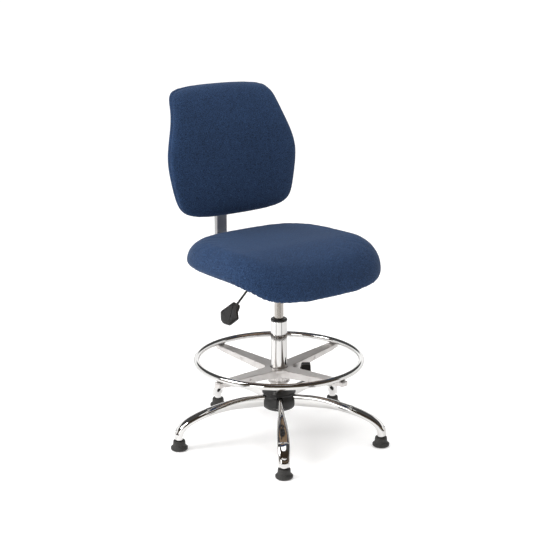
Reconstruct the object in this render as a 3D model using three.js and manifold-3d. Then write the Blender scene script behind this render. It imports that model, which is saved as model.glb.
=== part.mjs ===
// Drafting chair: five-legged tubular base on fixed glides, gas-lift column, clamped foot ring,
// upholstered seat on a pressed-steel mechanism, and a backrest on a sliding J-bar.
// Millimetres, +Z up. The chair faces -Y, and the sitter's right is -X.

import * as THREE from 'three';
import { mergeVertices } from 'three/addons/utils/BufferGeometryUtils.js';
import Module from 'manifold-3d';

const wasm = await Module();
wasm.setup();

// ---------------------------------------------------------------- driving dimensions

const GAP = 0.3;                 // clearance between pieces that touch on the real chair
const PAD_SIDES = 32;             // points round the outline of each upholstered layer
const TAU = 2 * Math.PI;
const RAD = Math.PI / 180;

// base
const LEG_COUNT = 5;
const LEG_PITCH = 360 / LEG_COUNT;
const FIRST_LEG = 36;            // degrees from -Y, so that one leg points straight back
const GLIDE_CIRCLE_R = 317.5;    // a 25 inch base
const GLIDE_R = 25.5;
const GLIDE_H = 29.5;
const SOCKET_R = 11;
const SOCKET_TOP = 62;
const HUB_R = 31;
const HUB_BOTTOM = 98;
const HUB_TOP = 139;
const HUB_SEAM = 103;            // where the two halves of the hub cover meet
const LEG_CORNER = 2.6;          // superellipse exponent of the pressed tube
const LEG_SLOT_HALF = 9.2;       // half width of the slots that the legs pass through in the hub cover
const STEM_R = 5.2;              // the threaded stem of a glide

// column
const COLUMN_R = 25;             // the standard 50 mm gas-lift tube
const COLUMN_BOTTOM = 92;
const COLUMN_TOP = 368;
const STROKE_R = 14;             // the standard 28 mm stroke tube
const STROKE_BOTTOM = 229;
const STROKE_TOP = 520;
const ROD_R = 5;
const COLUMN_BORE_R = 23.4;
const COLUMN_TAPER_TOP = 140;    // the foot of the column is a taper that wedges into the hub
const BUSH_BOTTOM = 290;
const STROKE_TAPER = 484;        // the top of the stroke tube is a taper that wedges into the mechanism

// foot ring
const RING_R = 248.5;
const RING_TUBE_R = 9.5;
const RING_Z = 246;
const ARM_COUNT = 4;
const FIRST_ARM = 8.35;          // degrees from -Y
const SPIDER_TOP = 223;
const SPIDER_BOTTOM = 175;
const COLLAR_R = 29.5;
const LINER_R = 26.3;
const SADDLE_Z = 235.8;          // top of each arm where the ring rests on it
const RING_KNOB_ANGLE = 53;      // degrees from -Y, midway between two arms
const RING_KNOB_Z = 205;
const ARM_TIP = 263;
const ARM_TOP_START = 236;       // where each arm becomes a level saddle
const CASTING_WALL = 3.5;
const RING_SCREW_R = 3;

// seat
const SEAT_TOP = 621;
const SEAT_BOTTOM = 543;
const SEAT_FRONT = 254;          // reach in front of the column axis
const SEAT_REAR = 218;
const SEAT_HALF_FRONT = 269;
const SEAT_HALF_REAR = 254;
const SEAT_CORNER = 3.35;        // superellipse exponent of the outline
const SEAT_DROOP = 55;           // fall of the waterfall front edge
const SEAT_DROOP_START = 76;
const BOARD_T = 12;
const SEAT_BOLT_X = 72;
const SEAT_BOLT_FRONT = -58;
const SEAT_BOLT_REAR = 98;
const BOARD_INSET = 26;
const BOLT_R = 3;
const BOLT_HOLE_R = 3.4;
const BOLT_HEAD_R = 6;
const BOLT_HEAD_H = 4;
const BOLT_TIP = 552;

// seat mechanism
const HOUSING_HALF_X = 46;
const HOUSING_FRONT = 70;
const HOUSING_REAR = 150;
const HOUSING_BOTTOM = 504;
const PLATE_T = 3;
const FLANGE = [-95, 95, -74, 116];   // the plate under the seat board: x and y limits
const TAPER_SOCKET_R = 21;
const LEVER_Z = 529;
const LEVER_ROD_R = 3.3;
const LEVER_DROP = 43 * RAD;     // slope of the lever rod below horizontal
const LEVER_CORNER_X = -67;
const LEVER_BUSH_R = 6;
const PADDLE_REACH = 117;        // along the rod from its corner
const PADDLE_T = 11;
const PADDLE_ROLL = -20 * RAD;    // turn of the paddle about its rod, towards the front

// J-bar and backrest
const BAR_W = 40;
const BAR_T = 18;
const BAR_Z = 524.6;             // centre of the bar's flat leg, under the seat
const BAR_Y = 291;               // centre of the bar's upright leg
const BAR_BEND_R = 60;
const BAR_START_Y = 75;
const BAR_TOP = 848;
const DEPTH_KNOB_Y = 122;
const BACK_BOTTOM = 658.5;
const BACK_TOP = 1050.5;
const BACK_T = 70.6;
const BACK_WRAP = 18.2;          // how far the side edges stand forward of the middle
const BACK_WRAP_HALF = 230;
const BACK_SEAM = -2;            // where the front cushion meets the rear panel, behind the middle surface
const BACK_PANEL_INSET = 1.5;
const BACK_BOARD_INSET = 26;
const BRACKET_Z = 745;
const BRACKET_SCREW_X = 32;
const BRACKET_SCREW_TIP = 225;   // y of the screws' tips, in the inner board
const BRACKET_HALF_W = 45;
const BRACKET_HALF_H = 47;
const BRACKET_WALL = 4;
const BRACKET_STAND_OFF = 1.2;
const SLEEVE_HALF_H = 40;
const SLIDE_SLACK = 0.6;         // between the J-bar and what slides on it

// The column axis is set forward, so that the frame's origin is the middle of the base.
const COLUMN_Y = -GLIDE_CIRCLE_R * (1 - Math.cos(FIRST_LEG * RAD)) / 2;

// ---------------------------------------------------------------- materials

function finish(color, roughness, metalness) {
  return () => new THREE.MeshStandardMaterial({ color, roughness, metalness });
}
const chrome = finish(0xdcdcdc, 0.08, 1);
const steel = finish(0x9a9894, 0.3, 1);
const aluminium = finish(0xa9a4a2, 0.45, 1);
const blackPlastic = finish(0x1e1e1f, 0.55, 0);
const rubber = finish(0x2a2a2a, 0.75, 0);
const blackSteel = finish(0x242424, 0.5, 0.6);
const blueFabric = finish(0x2a3c63, 0.95, 0);
const plywood = finish(0xb08d5f, 0.7, 0);

// ---------------------------------------------------------------- solids

function volumeOf(geometry) {
  const p = geometry.attributes.position;
  const index = geometry.index;
  const a = new THREE.Vector3();
  const b = new THREE.Vector3();
  const c = new THREE.Vector3();
  let volume = 0;
  for (let i = 0; i < index.count; i += 3) {
    a.fromBufferAttribute(p, index.getX(i));
    b.fromBufferAttribute(p, index.getX(i + 1));
    c.fromBufferAttribute(p, index.getX(i + 2));
    volume += a.dot(b.cross(c)) / 6;
  }
  return volume;
}

// A manifold of any closed geometry, with its faces turned outwards.
function toManifold(source) {
  const geometry = source.clone();
  for (const name of Object.keys(geometry.attributes)) {
    if (name !== 'position') geometry.deleteAttribute(name);
  }
  const merged = mergeVertices(geometry, 1e-4);
  const triVerts = Uint32Array.from(merged.index.array);
  if (volumeOf(merged) < 0) {
    for (let i = 0; i < triVerts.length; i += 3) {
      [triVerts[i], triVerts[i + 1]] = [triVerts[i + 1], triVerts[i]];
    }
  }
  const vertProperties = Float32Array.from(merged.attributes.position.array);
  return new wasm.Manifold(new wasm.Mesh({ numProp: 3, vertProperties, triVerts }));
}

function fromManifold(manifold) {
  const mesh = manifold.getMesh();
  const geometry = new THREE.BufferGeometry();
  geometry.setAttribute('position', new THREE.BufferAttribute(mesh.vertProperties, 3));
  geometry.setIndex(new THREE.BufferAttribute(mesh.triVerts, 1));
  geometry.computeVertexNormals();
  return geometry;
}

function join(first, ...others) {
  return fromManifold(others.reduce((all, g) => all.add(toManifold(g)), toManifold(first)));
}

function cut(body, ...tools) {
  return fromManifold(tools.reduce((left, g) => left.subtract(toManifold(g)), toManifold(body)));
}

// A solid of revolution about Z. The profile is [radius, height] pairs, and closes on itself or the axis.
function revolve(profile, segments = 24) {
  const points = profile.map(([r, z]) => new THREE.Vector2(r, z));
  const onAxis = profile[0][0] === 0 && profile.at(-1)[0] === 0;
  if (!onAxis) points.push(points[0].clone());
  return new THREE.LatheGeometry(points, segments).rotateX(Math.PI / 2);
}

function cylinder(radius, low, high, segments = 12) {
  return revolve([[0, low], [radius, low], [radius, high], [0, high]], segments);
}

function pipe(inner, outer, low, high, segments = 24) {
  return revolve([[inner, low], [outer, low], [outer, high], [inner, high]], segments);
}

function box(x0, x1, y0, y1, z0, z1) {
  const g = new THREE.BoxGeometry(x1 - x0, y1 - y0, z1 - z0);
  return g.translate((x0 + x1) / 2, (y0 + y1) / 2, (z0 + z1) / 2);
}

// A closed skin over rings of points that all have the same count, with flat ends.
function loft(rings) {
  const n = rings[0].length;
  const positions = rings.flat().flatMap((v) => [v.x, v.y, v.z]);
  const index = [];
  for (let r = 0; r + 1 < rings.length; r++) {
    for (let i = 0; i < n; i++) {
      const a = r * n + i;
      const b = r * n + (i + 1) % n;
      index.push(a, b, a + n, b, b + n, a + n);
    }
  }
  const last = (rings.length - 1) * n;
  for (let i = 1; i + 1 < n; i++) {
    index.push(0, i + 1, i, last, last + i, last + i + 1);
  }
  const geometry = new THREE.BufferGeometry();
  geometry.setAttribute('position', new THREE.Float32BufferAttribute(positions, 3));
  geometry.setIndex(index);
  return fromManifold(toManifold(geometry));
}

const signedPower = (value, power) => Math.sign(value) * Math.abs(value) ** power;

// One superellipse ring about a centre, spanned by two half axes.
function ring(centre, across, up, exponent, count) {
  return Array.from({ length: count }, (_, i) => {
    const t = (i + 0.5) * TAU / count;
    return centre.clone()
      .addScaledVector(across, signedPower(Math.cos(t), 2 / exponent))
      .addScaledVector(up, signedPower(Math.sin(t), 2 / exponent));
  });
}

// A round or flat-oval bar along a path that lies in one vertical plane.
function bar(points, halfAcross, halfUp, acrossAxis, exponent, count) {
  const rings = points.map((point, i) => {
    const before = points[Math.max(i - 1, 0)];
    const after = points[Math.min(i + 1, points.length - 1)];
    const into = i > 0 ? point.clone().sub(before).normalize() : new THREE.Vector3();
    const out = after !== point ? after.clone().sub(point).normalize() : new THREE.Vector3();
    const tangent = into.add(out).normalize();
    const up = tangent.clone().cross(acrossAxis).normalize().multiplyScalar(halfUp);
    return ring(point, acrossAxis.clone().multiplyScalar(halfAcross), up, exponent, count);
  });
  return loft(rings);
}

// Points along a line from start to end with one round corner.
function bentPath(start, corner, end, radius, steps) {
  const a = start.clone().sub(corner).normalize();
  const b = end.clone().sub(corner).normalize();
  const half = a.angleTo(b) / 2;
  const reach = radius / Math.tan(half);
  const centre = corner.clone().add(a.clone().add(b).normalize().multiplyScalar(radius / Math.sin(half)));
  const first = corner.clone().addScaledVector(a, reach).sub(centre);
  const last = corner.clone().addScaledVector(b, reach).sub(centre);
  const sweep = first.angleTo(last);
  const arc = Array.from({ length: steps + 1 }, (_, i) => {
    const t = i / steps;
    return centre.clone()
      .addScaledVector(first, Math.sin((1 - t) * sweep) / Math.sin(sweep))
      .addScaledVector(last, Math.sin(t * sweep) / Math.sin(sweep));
  });
  return [start, ...arc, end];
}

// A pad: a closed solid between a front and a rear surface over one outline.
// outline(t) gives [p, q]; place(p, q, side, s) gives the point at share s of the way to the edge.
function pad(outline, place, count, shares) {
  const positions = [];
  const put = (v) => positions.push(v.x, v.y, v.z);
  for (const side of [1, -1]) {
    put(place(0, 0, side, 0));
    for (const s of shares) {
      for (let i = 0; i < count; i++) {
        const [p, q] = outline((i + 0.5) * TAU / count);
        put(place(p * s, q * s, side, s));
      }
    }
  }
  const half = 1 + shares.length * count;
  const index = [];
  for (let i = 0; i < count; i++) {
    const j = (i + 1) % count;
    index.push(0, 1 + i, 1 + j, half, half + 1 + j, half + 1 + i);
    for (let r = 0; r + 1 < shares.length; r++) {
      const a = 1 + r * count;
      const b = a + count;
      index.push(a + i, b + i, b + j, a + i, b + j, a + j);
      index.push(half + a + i, half + b + j, half + b + i, half + a + i, half + a + j, half + b + j);
    }
    const rim = 1 + (shares.length - 1) * count;
    index.push(rim + i, half + rim + i, half + rim + j, rim + i, half + rim + j, rim + j);
  }
  const geometry = new THREE.BufferGeometry();
  geometry.setAttribute('position', new THREE.Float32BufferAttribute(positions, 3));
  geometry.setIndex(index);
  return fromManifold(toManifold(geometry));
}

// ---------------------------------------------------------------- the tree of pieces

const chair = new THREE.Group();
chair.position.y = COLUMN_Y;

function add(name, geometry, material, parent = chair) {
  const mesh = new THREE.Mesh(geometry, material());
  mesh.name = name;
  parent.add(mesh);
  return mesh;
}

// A group whose local +X points at the given angle from -Y, counter-clockwise from above.
function spoke(degrees) {
  const group = new THREE.Group();
  group.rotation.z = (degrees - 90) * RAD;
  chair.add(group);
  return group;
}

const legAngle = (i) => FIRST_LEG + i * LEG_PITCH;
const armAngle = (i) => FIRST_ARM + i * 360 / ARM_COUNT;

// ---------------------------------------------------------------- base

// A tall narrow oval at the hub that turns into a low wide one, arches down and ends over the glide.
const LEG_STATIONS = [           // radius, height of the middle, section height, section width
  [HUB_R + 0.9, 118.5, 37, 17],
  [70, 119.5, 37, 17],
  [113, 120, 36, 18],
  [152, 118, 31, 22],
  [190, 112.5, 25.5, 29],
  [228, 104, 22, 35],
  [266, 91.5, 20.5, 38],
  [294, 77.5, 21, 38],
  [310, 63.5, 23, 36],
  [318.5, 49, 25.5, 34],
  [320.5, 35, 27, 33],
];

function legSolid() {
  const steps = 13;
  const middle = new THREE.CatmullRomCurve3(LEG_STATIONS.map(([r, z]) => new THREE.Vector3(r, 0, z)));
  const size = new THREE.CatmullRomCurve3(LEG_STATIONS.map(([, , h, w]) => new THREE.Vector3(h, w, 0)));
  const rings = Array.from({ length: steps + 1 }, (_, i) => {
    const t = i / steps;
    const { x: height, y: width } = size.getPoint(t);
    const tangent = middle.getTangent(t);
    const up = new THREE.Vector3(-tangent.z, 0, tangent.x).multiplyScalar(height / 2);
    return ring(middle.getPoint(t), new THREE.Vector3(0, width / 2, 0), up, LEG_CORNER, 12);
  });
  const bore = cylinder(SOCKET_R + GAP, 0, SOCKET_TOP + GAP, 16).translate(GLIDE_CIRCLE_R, 0, 0);
  return cut(loft(rings), bore);
}

function buildLegs() {
  for (let i = 0; i < LEG_COUNT; i++) {
    const n = i + 1;
    const leg = spoke(legAngle(i));
    add(`base_leg_${n}`, legSolid(), chrome, leg);
    const foot = new THREE.Group();
    foot.position.x = GLIDE_CIRCLE_R;
    leg.add(foot);
    add(`stem_socket_${n}`, pipe(STEM_R + 0.7, SOCKET_R, GLIDE_H + 0.7, SOCKET_TOP, 16), chrome, foot);
    add(`glide_stem_${n}`, stemSolid(), steel, foot);
    add(`glide_${n}`, glideSolid(), rubber, foot);
  }
}

function stemSolid() {
  return revolve([[0, 8.3], [STEM_R, 8.3], [STEM_R, 52], [3.5, 55], [0, 55]], 8);
}

function glideSolid() {
  const outer = [[0, 0], [GLIDE_R - 2, 0], [GLIDE_R, 3], [GLIDE_R, 8], [18.6, 14], [18, GLIDE_H]];
  const stemHole = [[STEM_R + 0.4, GLIDE_H], [STEM_R + 0.4, 8], [0, 8]];
  return revolve([...outer, ...stemHole], 20);
}

function legSlots(low, high) {
  return Array.from({ length: LEG_COUNT }, (_, i) => {
    const slot = box(HUB_R - 2, 60, -LEG_SLOT_HALF, LEG_SLOT_HALF, low, high);
    return slot.rotateZ((legAngle(i) - 90) * RAD);
  });
}

function buildHub() {
  const taper = [[24, HUB_BOTTOM], [HUB_R, HUB_BOTTOM], [HUB_R, HUB_TOP], [25.4, HUB_TOP]];
  add('hub_tube', revolve(taper), steel);
  const cap = [
    [51.2, HUB_SEAM + GAP], [52.2, 113], [51.4, 122], [49.2, 130], [45.8, 135], [47, 138.4], [51.4, 141.2],
    [50.6, 145.2], [28, 148.5], [25.6, 148.5], [25.6, 145.8], [44.5, 141.5], [43, 135], [46.4, 129.4],
    [48.8, 121.6], [49.6, 113], [48.6, HUB_SEAM + GAP],
  ];
  add('hub_cover_top', cut(revolve(cap, 28), ...legSlots(0, HUB_TOP - 1.2)), blackPlastic);
  const bowl = [
    [28, 89], [37, 90], [46, 95], [51.2, HUB_SEAM], [48.6, HUB_SEAM], [44.2, 96.6], [36.4, 92.4], [28, 91.4],
  ];
  add('hub_cover_bottom', cut(revolve(bowl, 28), ...legSlots(99.3, 140)), blackPlastic);
}

// ---------------------------------------------------------------- column

function buildColumn() {
  const tube = [
    [6, COLUMN_BOTTOM], [COLUMN_BORE_R, COLUMN_BOTTOM], [COLUMN_R, COLUMN_TAPER_TOP], [COLUMN_R, COLUMN_TOP],
    [COLUMN_BORE_R, COLUMN_TOP], [COLUMN_BORE_R, COLUMN_TAPER_TOP], [21.8, COLUMN_BOTTOM + 4],
    [6, COLUMN_BOTTOM + 4],
  ];
  add('column_tube', revolve(tube, 28), chrome);
  const bush = [
    [STROKE_R + GAP, BUSH_BOTTOM], [COLUMN_BORE_R - GAP, BUSH_BOTTOM],
    [COLUMN_BORE_R - GAP, COLUMN_TOP + GAP],
    [COLUMN_R + 0.2, COLUMN_TOP + GAP], [COLUMN_R + 0.2, COLUMN_TOP + 4], [COLUMN_R - 1.5, COLUMN_TOP + 6],
    [STROKE_R + GAP, COLUMN_TOP + 6],
  ];
  add('guide_bush', revolve(bush, 28), blackPlastic);
  add('thrust_bearing', pipe(5.6, 13, 96.3, 104, 14), steel);
}

function buildLiftRod() {
  const rod = [
    [0, 87.5], [ROD_R, 87.5], [ROD_R, 370], [12, 370], [12, 385], [0, 385],
  ];
  add('piston_rod', revolve(rod, 14), steel);
  add('retaining_clip', pipe(ROD_R + GAP, 9.5, 89.7, COLUMN_BOTTOM - GAP, 14), steel);
  add('bump_stop', pipe(ROD_R + GAP, 11, 104.4, 118, 14), rubber);
}

function buildStrokeTube() {
  const tube = [
    [ROD_R + 0.4, STROKE_BOTTOM], [STROKE_R, STROKE_BOTTOM], [STROKE_R, STROKE_TAPER], [13.2, STROKE_TOP],
    [4.2, STROKE_TOP], [4.2, STROKE_TOP - 8], [12.4, STROKE_TOP - 8], [12.4, STROKE_BOTTOM + 8],
    [ROD_R + 0.4, STROKE_BOTTOM + 8],
  ];
  add('stroke_tube', revolve(tube, 20), steel);
  add('release_button', cylinder(3.8, STROKE_TOP - 6, LEVER_Z - LEVER_ROD_R - GAP), steel);
}

// ---------------------------------------------------------------- foot ring

// A tapering bar of rectangular section along +X, from [radius, half width, top, bottom] at each end.
function taperedArm([r0, w0, t0, b0], [r1, w1, t1, b1]) {
  const corners = (r, w, t, b) => (
    [[-w, b], [w, b], [w, t], [-w, t]].map(([y, z]) => new THREE.Vector3(r, y, z)));
  return loft([corners(r0, w0, t0, b0), corners(r1, w1, t1, b1)]);
}

function spiderSolid() {
  const [rootHalf, tipHalf, saddleHalf] = [25, 15, 13];
  const [rootBottom, tipBottom] = [199, 221];
  const parts = [];
  const cuts = [];
  for (let i = 0; i < ARM_COUNT; i++) {
    const turn = (armAngle(i) - 90) * RAD;
    const arm = taperedArm(
      [22, rootHalf, SPIDER_TOP, rootBottom], [ARM_TOP_START, tipHalf, SADDLE_Z, tipBottom]);
    const saddle = box(ARM_TOP_START - 0.5, ARM_TIP, -saddleHalf, saddleHalf, SPIDER_TOP, SADDLE_Z);
    const channel = taperedArm(
      [34, rootHalf - 1 - CASTING_WALL, SPIDER_TOP + 1 - CASTING_WALL, rootBottom - 9],
      [ARM_TOP_START - 4, tipHalf - CASTING_WALL, SADDLE_Z - CASTING_WALL, tipBottom - 6]);
    const screwHole = cylinder(RING_SCREW_R + 0.4, 200, 240, 8).translate(RING_R, 0, 0);
    parts.push(arm.rotateZ(turn), saddle.rotateZ(turn));
    cuts.push(channel.rotateZ(turn), screwHole.rotateZ(turn));
  }
  const knobTurn = (RING_KNOB_ANGLE - 90) * RAD;
  const towardsKnob = (solid) => solid.rotateY(Math.PI / 2).translate(0, 0, RING_KNOB_Z).rotateZ(knobTurn);
  const boss = towardsKnob(cylinder(10, 27, 44, 12));
  const thread = towardsKnob(cylinder(ROD_R + 0.4, 20, 60, 10));
  const collar = revolve([
    [20, SPIDER_BOTTOM], [33, SPIDER_BOTTOM], [33, SPIDER_BOTTOM + 4], [COLLAR_R, SPIDER_BOTTOM + 7],
    [COLLAR_R, 212], [44, 216], [44, SPIDER_TOP], [20, SPIDER_TOP],
  ], 24);
  const bore = cylinder(LINER_R + GAP, 100, 300, 24);
  const solidArms = join(...parts);
  const hollowArms = cut(solidArms, ...cuts);
  return cut(join(hollowArms, collar, boss), bore, thread);
}

function lobedKnob(radius, lobes, low, high, stud) {
  const [studR, studLow] = stud;
  const shape = new THREE.Shape();
  const count = lobes * 4;
  for (let i = 0; i < count; i++) {
    const t = i * TAU / count;
    const r = radius * (0.93 + 0.07 * Math.cos(lobes * t));
    shape.lineTo(r * Math.cos(t), r * Math.sin(t));
  }
  const bevel = 2;
  const head = new THREE.ExtrudeGeometry(shape, {
    depth: high - low - 2 * bevel, bevelThickness: bevel, bevelSize: bevel, bevelOffset: -bevel, bevelSegments: 1,
  }).translate(0, 0, low + bevel);
  const neck = cylinder(radius * 0.5, low - 6, low + 3, 12);
  return join(head, neck, cylinder(studR, studLow, low, 10));
}

function buildFootRing() {
  const sides = 10;
  const circle = Array.from({ length: sides }, (_, i) => {
    const t = i * TAU / sides;
    return [RING_R + RING_TUBE_R * Math.cos(t), RING_Z + RING_TUBE_R * Math.sin(t)];
  });
  add('foot_ring_tube', revolve(circle, 48), chrome);
  add('foot_ring_spider', spiderSolid(), aluminium);
  add('ring_liner', pipe(COLUMN_R + GAP, LINER_R, SPIDER_BOTTOM + 1, SPIDER_TOP - 1, 24), blackPlastic);
  for (let i = 0; i < ARM_COUNT; i++) {
    const screw = revolve([
      [0, 218.5], [6, 218.5], [6, 222.7], [RING_SCREW_R, 222.7], [RING_SCREW_R, 236], [0, 236],
    ], 8);
    add(`ring_screw_${i + 1}`, screw.translate(RING_R, 0, 0), steel, spoke(armAngle(i)));
  }
  const knob = lobedKnob(28, 7, 68, 96, [ROD_R, LINER_R + GAP]);
  const placed = knob.rotateY(Math.PI / 2).translate(0, 0, RING_KNOB_Z);
  add('ring_knob', placed, blackPlastic, spoke(RING_KNOB_ANGLE));
}

// ---------------------------------------------------------------- seat

function seatOutline(inset) {
  return (t) => {
    const u = signedPower(Math.cos(t), 2 / SEAT_CORNER);
    const v = signedPower(Math.sin(t), 2 / SEAT_CORNER);
    const halfWidth = SEAT_HALF_FRONT + (SEAT_HALF_REAR - SEAT_HALF_FRONT) * (v + 1) / 2 - inset;
    const y = (SEAT_REAR - SEAT_FRONT) / 2 + v * ((SEAT_REAR + SEAT_FRONT) / 2 - inset);
    return [halfWidth * u, y];
  };
}

function seatDroop(y) {
  const past = Math.max(0, -y - SEAT_DROOP_START) / (SEAT_FRONT - SEAT_DROOP_START);
  return SEAT_DROOP * past * past;
}

// A rounded edge: 1 over most of the pad, and 0 at the rim.
const rounding = (s, sharpness) => (1 - s ** sharpness) ** (1 / 2.2);

function seatPad(inset, low, high, rimShare) {
  const rim = low + (high - low) * rimShare;
  const place = (x, y, side, s) => {
    const round = rounding(s, 6);
    const z = side > 0 ? rim + (high - rim) * round : rim + (low - rim) * rounding(s, 16);
    return new THREE.Vector3(x, y, z - seatDroop(y));
  };
  return pad(seatOutline(inset), place, PAD_SIDES, [0.45, 0.75, 0.9, 0.97, 1]);
}

// The moulded seat board, or the space that it takes when it is grown by a margin.
function boardPad(margin) {
  const low = SEAT_BOTTOM - 1 - (margin ? BOARD_T : 0);
  const high = SEAT_BOTTOM - 1 + BOARD_T + margin;
  const place = (x, y, side) => new THREE.Vector3(x, y, (side > 0 ? high : low) - seatDroop(y));
  return pad(seatOutline(BOARD_INSET - margin), place, PAD_SIDES, [0.3, 0.6, 0.8, 1]);
}

const seatBoltPlaces = [-1, 1].flatMap((side) => (
  [SEAT_BOLT_FRONT, SEAT_BOLT_REAR].map((y) => [side * SEAT_BOLT_X, y])));

const seatBoltHoles = () => (
  seatBoltPlaces.map(([x, y]) => cylinder(BOLT_HOLE_R, 500, 600, 8).translate(x, y, 0)));

function buildSeat() {
  add('seat_board', cut(boardPad(0), ...seatBoltHoles()), plywood);
  add('seat_cushion', cut(seatPad(0, SEAT_BOTTOM, SEAT_TOP, 0.28), boardPad(GAP)), blueFabric);
  seatBoltPlaces.forEach(([x, y], i) => {
    const head = SEAT_BOTTOM - 2 - PLATE_T - GAP;
    const bolt = revolve([
      [0, head - BOLT_HEAD_H], [BOLT_HEAD_R, head - BOLT_HEAD_H], [BOLT_HEAD_R, head], [BOLT_R, head],
      [BOLT_R, BOLT_TIP], [0, BOLT_TIP],
    ], 8);
    add(`seat_bolt_${i + 1}`, bolt.translate(x, y, 0), steel);
  });
}

function housingSolid() {
  const top = SEAT_BOTTOM - 2;
  const under = top - PLATE_T;
  const block = (inset, low, high) => box(
    -HOUSING_HALF_X + inset, HOUSING_HALF_X - inset, -HOUSING_FRONT + inset, HOUSING_REAR - inset, low, high);
  const floorTop = BAR_Z - BAR_T / 2 - 0.5;
  const flange = box(...FLANGE, under, top);
  const shell = block(0, HOUSING_BOTTOM, under + 1);
  const inside = block(PLATE_T, HOUSING_BOTTOM - 10, under);
  const floor = block(1, floorTop - PLATE_T, floorTop);
  const socketHole = cylinder(TAPER_SOCKET_R + GAP, 480, floorTop + 2, 20);
  const mouth = box(
    -BAR_W / 2 - SLIDE_SLACK, BAR_W / 2 + SLIDE_SLACK, HOUSING_REAR - 10, HOUSING_REAR + 10,
    floorTop, BAR_Z + BAR_T / 2 + SLIDE_SLACK);
  const studHole = cylinder(ROD_R + 0.4, 480, floorTop + 2, 16).translate(0, DEPTH_KNOB_Y, 0);
  const bushHole = cylinder(LEVER_BUSH_R + GAP, -60, -30, 20).rotateY(Math.PI / 2).translate(0, 0, LEVER_Z);
  const shellWithFloor = join(cut(join(flange, shell), inside), floor);
  return cut(shellWithFloor, mouth, socketHole, studHole, bushHole, ...seatBoltHoles());
}

function buildMechanism() {
  add('mechanism_housing', housingSolid(), blackSteel);
  const socket = [[14.4, 486], [TAPER_SOCKET_R, 486], [TAPER_SOCKET_R, 521], [13.6, 521]];
  add('taper_socket', revolve(socket, 20), blackSteel);
  const knob = lobedKnob(24, 6, -490, -468, [ROD_R, -BAR_Z + BAR_T / 2 + GAP]);
  add('depth_knob', knob.rotateX(Math.PI).translate(0, DEPTH_KNOB_Y, 0), blackPlastic);
}

// ---------------------------------------------------------------- height lever

const leverDirection = new THREE.Vector3(-Math.cos(LEVER_DROP), 0, -Math.sin(LEVER_DROP));
const leverCorner = new THREE.Vector3(LEVER_CORNER_X, 0, LEVER_Z);
const paddleOrigin = leverCorner.clone().addScaledVector(leverDirection, PADDLE_REACH);

// Outline of the paddle: [along the rod, across], from neck to tip and back.
const PADDLE_OUTLINE = [
  [3, -13], [48, -30], [70, -12], [75, 0], [71, 23], [40, 34], [29, 23], [24, 18], [13, 15], [3, 11],
];

function paddleSolid() {
  const shape = new THREE.Shape(PADDLE_OUTLINE.map(([along, across]) => new THREE.Vector2(along, across)));
  const bevel = 2.5;
  const body = new THREE.ExtrudeGeometry(shape, {
    depth: PADDLE_T - 2 * bevel, bevelThickness: bevel, bevelSize: bevel, bevelOffset: -bevel, bevelSegments: 1,
  }).translate(0, 0, bevel - PADDLE_T / 2);
  const socket = cylinder(LEVER_ROD_R + GAP, -20, 46, 12).rotateY(Math.PI / 2);
  return cut(body, socket);
}

function buildLever() {
  const along = new THREE.Vector3(0, 1, 0);
  const inner = new THREE.Vector3(4, 0, LEVER_Z);
  const outer = paddleOrigin.clone().addScaledVector(leverDirection, 44);
  const path = bentPath(inner, leverCorner, outer, 18, 5);
  add('lever_rod', bar(path, LEVER_ROD_R, LEVER_ROD_R, along, 2, 12), steel);
  const bush = revolve([
    [4.3, -49], [8, -49], [8, -HOUSING_HALF_X - GAP], [LEVER_BUSH_R, -HOUSING_HALF_X - GAP],
    [LEVER_BUSH_R, -41], [4.3, -41],
  ], 12);
  add('lever_bush', bush.rotateY(Math.PI / 2).translate(0, 0, LEVER_Z), blackPlastic);

  const across = new THREE.Vector3(0, -1, 0).applyAxisAngle(leverDirection, PADDLE_ROLL);
  const normal = leverDirection.clone().cross(across);
  const holder = new THREE.Group();
  holder.matrix.makeBasis(leverDirection, across, normal).setPosition(paddleOrigin);
  holder.matrix.decompose(holder.position, holder.quaternion, holder.scale);
  chair.add(holder);
  add('lever_paddle', paddleSolid(), blackPlastic, holder);
}

// ---------------------------------------------------------------- backrest

const BACK_STATIONS = [          // height, half width before the corners are rounded, y of the middle
  [658, 240, 197],
  [750, 226, 211],
  [850, 235.5, 220],
  [950, 208, 240],
  [1055, 206, 293],
];
const BACK_MIDDLE = (BACK_TOP + BACK_BOTTOM) / 2;
const BACK_HALF = (BACK_TOP - BACK_BOTTOM) / 2;
const backCurve = new THREE.CatmullRomCurve3(BACK_STATIONS.map(([z, w, y]) => new THREE.Vector3(w, y, z)));
const backSamples = backCurve.getPoints(80);

function backAt(z) {
  const next = backSamples.findIndex((p) => p.z >= z);
  if (next < 1) return next === 0 ? backSamples[0] : backSamples.at(-1);
  const a = backSamples[next - 1];
  const b = backSamples[next];
  return a.clone().lerp(b, (z - a.z) / (b.z - a.z));
}

// y of the backrest's middle surface at a point of its face
function backMiddle(x, z) {
  return backAt(z).y + BACK_WRAP * (1 - (x / BACK_WRAP_HALF) ** 2);
}

// The outline is followed by height and half width, with round corners that are larger at the bottom.
function backOutline(inset) {
  return (t) => {
    const rise = Math.sin(t);
    const corner = rise > 0 ? 7.9 : 5;
    const share = signedPower(rise, 2 / corner);
    const z = BACK_MIDDLE + (BACK_HALF - inset) * share;
    const halfWidth = (backAt(z).x - inset) * Math.abs(Math.cos(t)) ** (2 / corner);
    return [Math.sign(Math.cos(t)) * halfWidth, z - BACK_MIDDLE];
  };
}

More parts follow.
